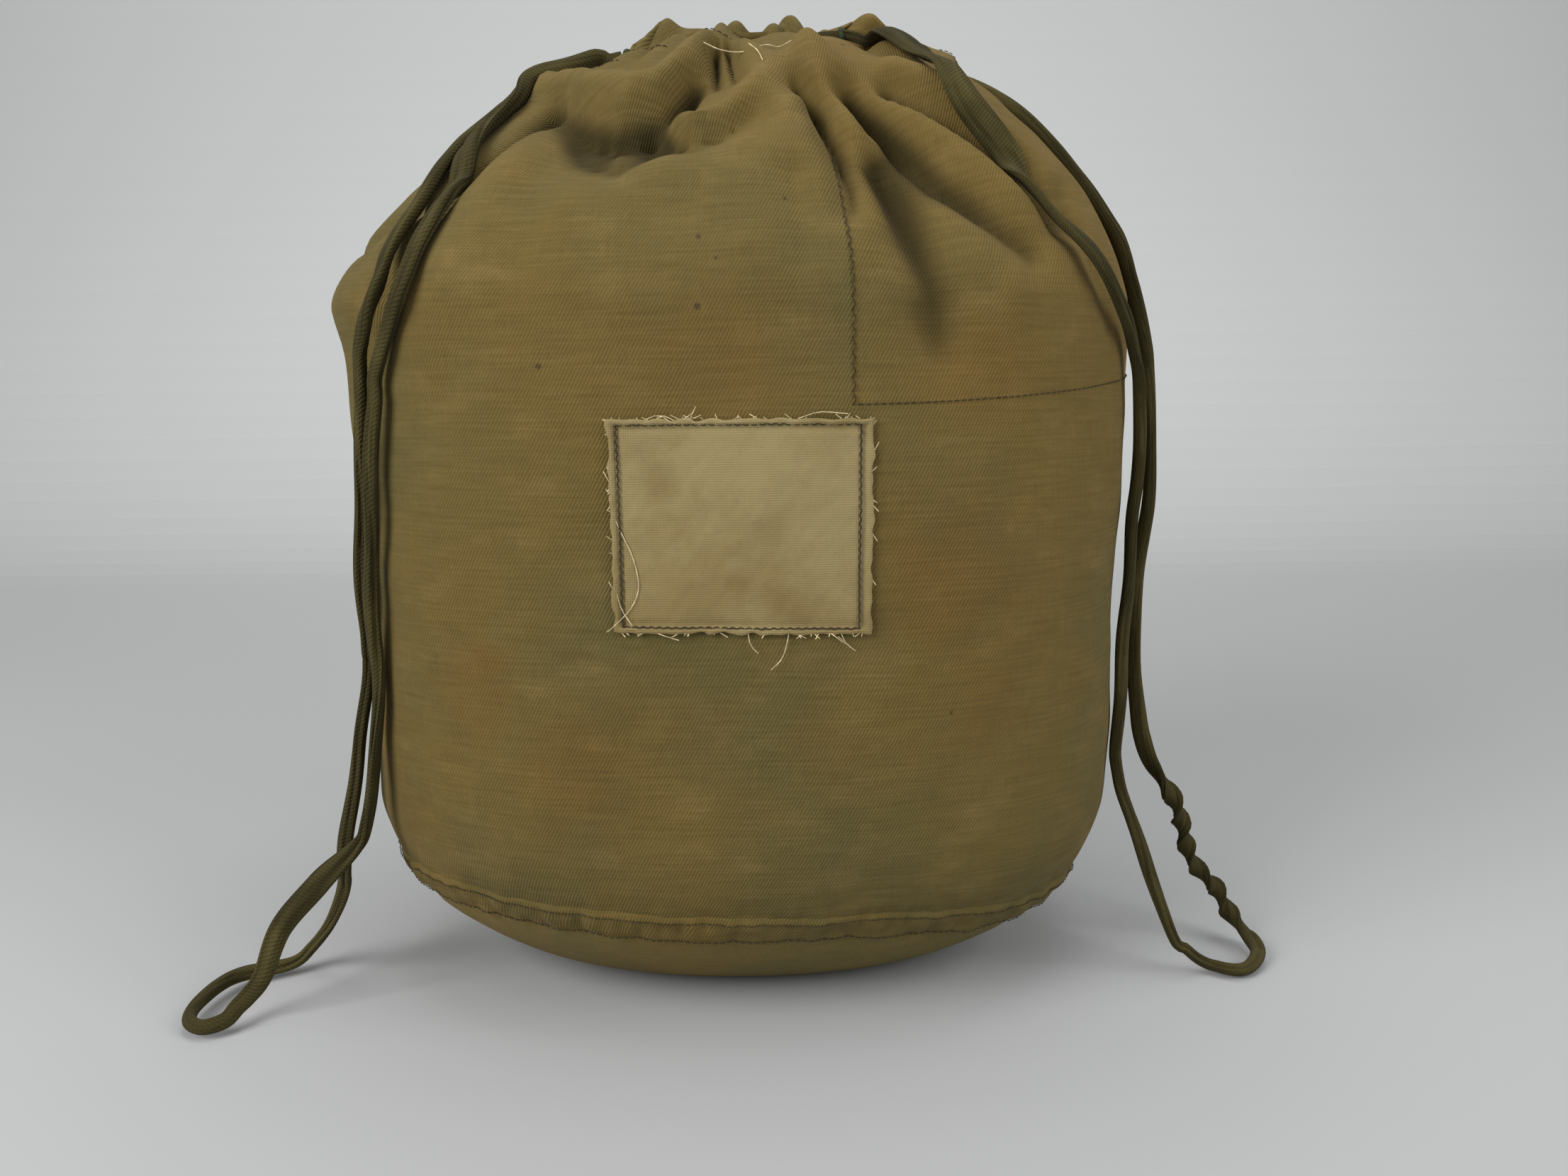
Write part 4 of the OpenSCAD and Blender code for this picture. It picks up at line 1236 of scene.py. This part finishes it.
class BAG_OT_casing(bpy.types.Operator):
    """Gather the hem round the drawn mouth"""

    bl_idname = "duffel_bag.casing"
    bl_label = "Gathered hem"

    def execute(self, context):
        def place(u, v):
            return casing_point(360 * u, v)

        hem = grid_piece("gathered_hem_twill", 420, 44, place)
        face_outward(hem, True)
        x, y, z = vertex_places(hem).T
        set_uv(hem, np.arctan2(y, x) * 0.06, z + 0.5 * np.hypot(x, y))
        apply_modifier(hem, "SOLIDIFY", thickness=SEAM_CLOTH, offset=-1)
        finish_piece(hem, twill_material("khaki_twill_hem", 0.04, False), "twill", "bag", "hem_casing")
        return {"FINISHED"}


class BAG_OT_eyelets(bpy.types.Operator):
    """Work the two buttonholes that the drawstrings leave by"""

    bl_idname = "duffel_bag.eyelets"
    bl_label = "Worked eyelets"

    def execute(self, context):
        material = thread_material("green_buttonhole_thread", tuple(finish().eyelet))
        for word, side, z in (("right", 1, RIGHT_EXIT_Z), ("left", -1, LEFT_EXIT_Z)):
            eyelet = self.worked_edge(f"{word}_eyelet_edge", side, z)
            finish_piece(eyelet, material, "eyelet_thread", "bag", f"eyelet_{word}")
        return {"FINISHED"}

    def worked_edge(self, name, side, z):
        """A long ring of close, slightly uneven blanket stitches."""
        steps, around = 480, 10
        half_length, half_height, girth = 0.0128, 0.0042, 0.0011
        turn = np.linspace(0, 2 * math.pi, steps, endpoint=False)
        c, s = np.cos(turn), np.sin(turn)
        reach = (np.abs(c) ** 3 + np.abs(s) ** 3) ** (-1 / 3)
        middle = np.stack([np.full(steps, side * 0.0391), half_length * c * reach,
                           z + half_height * s * reach], axis=1)
        away = np.stack([np.zeros(steps), c / half_length, s / half_height], axis=1)
        away /= np.linalg.norm(away, axis=1, keepdims=True)
        stitch = 1 + 0.20 * np.abs(np.sin(30 * turn)) + 0.10 * np.sin(7 * turn)
        points = []
        for j in range(around):
            q = 2 * math.pi * j / around
            points.append(middle + (girth * stitch)[:, None] * (
                math.cos(q) * away + math.sin(q) * np.array((side * 1.0, 0, 0))))
        points = np.stack(points, axis=1).reshape(-1, 3)
        faces = []
        for i in range(steps):
            for j in range(around):
                k, m = (i + 1) % steps, (j + 1) % around
                faces.append((i * around + j, k * around + j, k * around + m, i * around + m))
        piece = mesh_piece(name, points, faces)
        face_outward(piece)
        return piece


# ---- Label: its corners are places (x, z) on the front, its stitches lie this far in from each edge ----
LABEL_CORNERS = {"low_left": (-0.0375, 0.1490), "low_right": (0.0432, 0.1475),
                 "high_left": (-0.0385, 0.2155), "high_right": (0.0440, 0.2150)}
LABEL_FLAT = (0.081, 0.067)
LABEL_CLOTH = 0.0006
STITCH_INSETS = (0.0028, 0.0018, 0.0038, 0.0016)
STITCH_PITCH = 0.0026
STITCH_WANDER = 0.0005


def front_place(x, z):
    """Angle and level of the front cloth at a place across and up."""
    f = form()
    s = np.clip((z - f.turn_height) / (f.shoulder_height - f.turn_height), 0, 0.999)
    across = np.clip(x / mix(f.lower_width / 2, f.belly_width / 2, np.sin(np.radians(90 * s))), -1, 1)
    deep = (1 - np.abs(across) ** BELLY_SQUARE) ** (1 / BELLY_SQUARE)
    return np.degrees(np.arctan2(-deep, across)) % 360, 1 + s


def label_place(u, v, lift):
    """Points of the label, lying on the front cloth."""
    c = LABEL_CORNERS
    low = mix(np.array(c["low_left"])[:, None], np.array(c["low_right"])[:, None], u)
    high = mix(np.array(c["high_left"])[:, None], np.array(c["high_right"])[:, None], u)
    x, z = mix(low, high, v)
    angle, level = front_place(x, z)
    points, _ = cloth_point(angle, level)
    return points + (lift * np.ones(len(points)))[:, None] * cloth_normal(angle, level)


class BAG_OT_label(bpy.types.Operator):
    """Sew on the blank, stained cotton label with its stitching and loose threads"""

    bl_idname = "duffel_bag.label"
    bl_label = "Label"

    def execute(self, context):
        cotton = label_material()
        cream = thread_material("cream_cotton_thread", (0.46, 0.37, 0.22))
        dark = thread_material("dark_sewing_thread", tuple(finish().thread))
        label = self.cloth(cotton)
        fringe = self.fringe(cream)
        stitches = self.edge_stitches(dark)
        self.neck_threads(cream)
        return {"FINISHED"}

    def neck_threads(self, material):
        """A loose thread caught in the gathers."""
        points, faces = [], []
        for places in NECK_THREADS:
            angle, level = nearest_places(places, -1)
            _, out = cloth_point(angle, level)
            height = np.maximum(out, 0.0022) + 0.0006
            line = smooth_skin(angle, level) + height[:, None] * skin_normal(angle, level)
            add_tube(points, faces, rounded_line(line, 0.001), LOOSE_THREAD_RADIUS, 5)
        piece = mesh_piece("neck_loose_thread", points, faces)
        face_outward(piece)
        return finish_piece(piece, material, "label", "bag")

    def cloth(self, material):
        width, height = LABEL_FLAT

        def place(u, v):
            edge = np.minimum(np.minimum(u, 1 - u) * width, np.minimum(v, 1 - v) * height)
            flat = np.stack([u * width, v * height, 0 * u], axis=1)
            ragged = 0.0004 * bell(edge, 0.0015)
            u2 = u + ragged / width * waves(flat, 0.006, 51)
            v2 = v + ragged / height * waves(flat, 0.006, 52)
            sewn = bell(edge - STITCH_INSETS[0], 0.0012)
            lift = 0.0011 + 0.0008 * bell(edge - 0.0008, 0.0011) * (1 + 0.3 * waves(flat, 0.014, 53))
            lift += 0.00016 * (1 - sewn) * waves(flat, 0.030, 54) - 0.0004 * sewn
            lift += 0.00005 * waves(flat, 0.006, 55)
            return label_place(u2, v2, lift), lift

        piece = grid_piece("label_cotton", 150, 124, place)
        x, _, z = vertex_places(piece).T
        set_uv(piece, x, z)
        apply_modifier(piece, "SOLIDIFY", thickness=LABEL_CLOTH, offset=-1)
        return finish_piece(piece, material, "label", "bag", "label")

    def fringe(self, material):
        """Frayed ends round the edges, and long loose threads at the left and below."""
        draw = np.random.default_rng(61)
        width, height = LABEL_FLAT
        lines = []
        for edge, count in FRAYED_ENDS.items():
            for place in draw.uniform(0.01, 0.99, count):
                long = draw.uniform(0.0003, 0.0016)
                slant = draw.uniform(-2.6, 2.6) * long
                start, end = {
                    "left": ((0.004, place), (-long / width, place + slant / height)),
                    "right": ((0.996, place), (1 + long / width, place + slant / height)),
                    "bottom": ((place, 0.004), (place + slant / width, -long / height)),
                    "top": ((place, 0.996), (place + slant / width, 1 + long / height)),
                }[edge]
                lines.append([start, end])
        lines.extend(LONG_THREADS)
        points, faces = [], []
        for line in lines:
            uv = np.array(line, float)
            if len(uv) > 2:
                uv = rounded_line(np.column_stack([uv, np.zeros(len(uv))]), 0.03)[:, :2]
            lift = np.full(len(uv), 0.0012) + 0.0006 * np.linspace(0, 1, len(uv))
            place = label_place(uv[:, 0], uv[:, 1], lift)
            add_tube(points, faces, place, FRAY_RADIUS, 5)
        piece = mesh_piece("label_frayed_threads", points, faces)
        face_outward(piece)
        return finish_piece(piece, material, "label", "bag")

    def edge_stitches(self, material):
        """A dark line of slightly slanted stitches just inside the edge."""
        width, height = LABEL_FLAT
        left, low, right, high = STITCH_INSETS
        corners = [(left, low), (width - right, low), (width - right, height - high), (left, height - high)]
        places = []
        for (x0, y0), (x1, y1) in zip(corners, corners[1:] + corners[:1]):
            long = math.hypot(x1 - x0, y1 - y0)
            count = round(long / STITCH_PITCH) * 2
            for i in range(count):
                side = STITCH_WANDER * (0.5 if i % 2 else -0.5)
                t = i / count
                places.append((x0 + (x1 - x0) * t - side * (y1 - y0) / long,
                               y0 + (y1 - y0) * t + side * (x1 - x0) / long))
        places.append(places[0])
        flat = np.array(places)
        line = label_place(flat[:, 0] / width, flat[:, 1] / height, np.full(len(flat), 0.00125))
        points, faces = [], []
        for start, end in zip(line[:-1], line[1:]):
            middle = (start + end) / 2 + np.array((0, -0.00018, 0))
            add_tube(points, faces, np.array([start, middle, end]), SEWING_THREAD_RADIUS, 6)
        piece = mesh_piece("label_zigzag_stitches", points, faces)
        face_outward(piece)
        return finish_piece(piece, material, "thread", "bag", "label_stitching")


FRAYED_ENDS = {"left": 14, "right": 7, "bottom": 22, "top": 26}
# Long loose threads of the label, as shares of its width and height
LONG_THREADS = [
    [(0.01, 0.72), (0.00, 0.62), (0.03, 0.50), (0.08, 0.36), (0.10, 0.22), (0.07, 0.12), (0.00, 0.03),
     (-0.03, 0.0)],
    [(0.02, 0.34), (0.01, 0.24), (0.03, 0.12), (0.07, 0.04)],
    [(0.52, 0.02), (0.53, -0.05), (0.56, -0.09)], [(0.68, 0.02), (0.67, -0.05), (0.65, -0.12), (0.61, -0.17)],
    [(0.88, 0.02), (0.90, -0.04), (0.94, -0.08)], [(0.84, 0.01), (0.88, -0.03), (0.91, -0.05), (0.87, -0.01)],
    [(0.13, 0.99), (0.20, 1.02), (0.26, 0.98), (0.33, 1.03)], [(0.34, 1.06), (0.32, 1.00), (0.36, 1.02)],
    [(0.72, 1.0), (0.80, 1.03), (0.90, 1.02)], [(0.14, 0.01), (0.22, -0.02), (0.25, -0.03)],
]


FRAY_RADIUS, LOOSE_THREAD_RADIUS, SEWING_THREAD_RADIUS = 0.00014, 0.00016, 0.00027
# Loose threads at the neck: places (x, z) in millimetres on the front
NECK_THREADS = [
    [(-9, 336), (-3, 334), (4, 333), (11, 333), (16, 335), (20, 338)], [(6, 333), (9, 330), (11, 326)],
]


ROW_FROM_MIDDLE = 0.0042
HEM_STITCH_LEVEL = 2.80
UPRIGHT_TOP_LEVEL = 2.42


class BAG_OT_stitching(bpy.types.Operator):
    """Stitch the base, side, pieced and hem seams"""

    bl_idname = "duffel_bag.stitching"
    bl_label = "Stitching"

    def execute(self, context):
        thread = thread_material("dark_seam_thread", tuple(finish().thread))
        self.base_rows(thread)
        self.side_rows(thread)
        self.pieced_rows(thread)
        self.hem_row(thread)
        return {"FINISHED"}

    def base_rows(self, thread):
        angle = np.linspace(0, 360, 900)
        wander = 0.0004 * waves(smooth_skin(angle, np.full(900, SEAM_LEVEL)), 0.03, 71)
        for word, away in (("upper", ROW_FROM_MIDDLE), ("lower", -ROW_FROM_MIDDLE)):
            line, up = line_on_cloth(angle, seam_row_level(angle, away + wander), 0.0014)
            stitch_run(f"base_stitches_{word}", [line], [up], thread, "bag", [f"base_seam_stitching_{word}"])

    def side_rows(self, thread):
        for word, centre in (("right", 0.0), ("left", 180.0)):
            level = np.linspace(float(seam_level(np.array([centre]))[0]) + 0.04, 3.0, 500)
            lines = [line_on_cloth(centre + away / degree_length(centre, level), level, 0.0013)
                     for away in (-ROW_FROM_MIDDLE, ROW_FROM_MIDDLE)]
            stitch_run(f"side_stitches_{word}", *zip(*lines), thread, "bag", [f"side_seam_stitching_{word}"])

    def pieced_rows(self, thread):
        bottom = float(insert_level(np.array([INSERT_ANGLE]))[0])
        level = np.linspace(bottom, UPRIGHT_TOP_LEVEL, 160)
        line, up = line_on_cloth(np.full(160, INSERT_ANGLE + 0.05), level, 0.0003)
        stitch_run("pieced_stitches_upright", [line], [up], thread, "bag", ["insert_seam_stitching_upright"],
                   gap=0.1 * MM, thick=0.45 * MM, wander=0.45 * MM)
        angle = np.linspace(INSERT_ANGLE + 0.5, 358, 220)
        line, up = line_on_cloth(angle, insert_level(angle) + 0.002, 0.0002)
        stitch_run("pieced_stitches_level", [line], [up], thread, "bag", ["insert_seam_stitching_level"])

    def hem_row(self, thread):
        lines = []
        for start in (0.0, 180.0):
            angle = np.linspace(start + 8, start + 172, 700)
            level = np.full(700, HEM_STITCH_LEVEL)
            _, out = cloth_point(angle, level)
            line, up = line_on_cloth(angle, level, 0.0)
            shown = smoothstep(out, 0.0002, 0.0018)
            lines.append((line + mix(-0.0008, 0.0003, shown)[:, None] * up, up))
        stitch_run("hem_stitches", *zip(*lines), thread, "bag", ["casing_stitching"])


FLOOR_COLOUR, BACKDROP_COLOUR = (0.42, 0.425, 0.425), (0.74, 0.75, 0.74)
SKY_COLOUR = (0.95, 0.97, 1.0, 1)
BAG_MIDDLE = (0, 0, 0.17)


class BAG_OT_stage(bpy.types.Operator):
    """Add a pale floor and backdrop and soft studio light"""

    bl_idname = "duffel_bag.stage"
    bl_label = "Stage and light"

    def execute(self, context):
        self.sweep()
        for name, place, size, power in LAMPS:
            data = bpy.data.lights.new(name, "AREA")
            data.shape = "RECTANGLE"
            data.size, data.size_y = size
            data.energy = power
            lamp = bpy.data.objects.new(name, data)
            context.collection.objects.link(lamp)
            lamp.location = place
            aim = Vector(BAG_MIDDLE) - Vector(place)
            lamp.rotation_euler = aim.to_track_quat("-Z", "Y").to_euler()
        world = bpy.data.worlds.new("studio")
        world.use_nodes = True
        sky = world.node_tree.nodes["Background"]
        sky.inputs["Color"].default_value = SKY_COLOUR
        sky.inputs["Strength"].default_value = WORLD_LIGHT
        context.scene.world = world
        context.scene.view_settings.view_transform = "Standard"
        return {"FINISHED"}

    def sweep(self):
        """One pale sheet, level under the bag and curving up behind it."""
        n = Nodes("pale_paper")
        place = n.add("ShaderNodeTexCoord").outputs["Object"]
        behind = n.ramp(n.add("ShaderNodeSeparateXYZ", {0: place}).outputs["Y"], 0.3, 1.7)
        n.put(n.shader.inputs["Base Color"], n.blend(behind, FLOOR_COLOUR, BACKDROP_COLOUR))
        n.shader.inputs["Roughness"].default_value = 0.9
        n.shader.inputs["Specular IOR Level"].default_value = 0.1
        deselect_all()
        bpy.ops.mesh.primitive_grid_add(x_subdivisions=2, y_subdivisions=120, size=1)
        sweep = bpy.context.object
        sweep.name = sweep.data.name = "pale_sweep"
        front, curve_start, radius, top = -2.5, 0.9, 0.9, 3.0
        bend = radius * math.pi / 2
        total = curve_start - front + bend + top - radius
        for vertex in sweep.data.vertices:
            far = (vertex.co.y + 0.5) * total
            turn = (far - (curve_start - front)) / radius
            if turn <= 0:
                y, z = front + far, 0.0
            elif turn < math.pi / 2:
                y, z = curve_start + radius * math.sin(turn), radius * (1 - math.cos(turn))
            else:
                y, z = curve_start + radius, far - (curve_start - front) - bend + radius
            vertex.co = (vertex.co.x * 8, y, z - 0.0005)
        sweep.data.update()
        sweep.data.materials.append(n.material)


# Name, place, size and power of each lamp
LAMPS = [
    ("left_softbox", (-1.10, -0.95, 0.95), (0.9, 0.9), 25.0),
    ("right_softbox", (1.25, -0.75, 0.90), (1.0, 1.0), 13.5),
    ("top_softbox", (0.10, 0.10, 1.60), (1.2, 1.0), 9.0),
]
WORLD_LIGHT = 0.34

OPERATORS = [BAG_OT_camera, BAG_OT_drawstrings, BAG_OT_cloth, BAG_OT_seams, BAG_OT_casing, BAG_OT_eyelets,
             BAG_OT_label, BAG_OT_stitching, BAG_OT_stage]


class BAG_PT_sidebar(bpy.types.Panel):
    """Sizes, colours and making of the bag"""

    bl_label = "Duffel bag"
    bl_idname = "BAG_PT_sidebar"
    bl_space_type = "VIEW_3D"
    bl_region_type = "UI"
    bl_category = "Duffel bag"

    def draw(self, context):
        for group in (context.scene.bag_form, context.scene.bag_finish):
            box = self.layout.box()
            for key in group.__annotations__:
                box.prop(group, key)
        for operator in OPERATORS:
            self.layout.operator(operator.bl_idname)


CLASSES = [BagForm, BagFinish, *OPERATORS, BAG_PT_sidebar]


def register():
    for one in CLASSES:
        bpy.utils.register_class(one)
    bpy.types.Scene.bag_form = bpy.props.PointerProperty(type=BagForm)
    bpy.types.Scene.bag_finish = bpy.props.PointerProperty(type=BagFinish)


def unregister():
    del bpy.types.Scene.bag_finish
    del bpy.types.Scene.bag_form
    for one in reversed(CLASSES):
        bpy.utils.unregister_class(one)


def main():
    register()
    LINES.extend(prepare_folds())
    for operator in OPERATORS:
        group, name = operator.bl_idname.split(".")
        getattr(getattr(bpy.ops, group), name)()


if __name__ == "__main__":
    main()
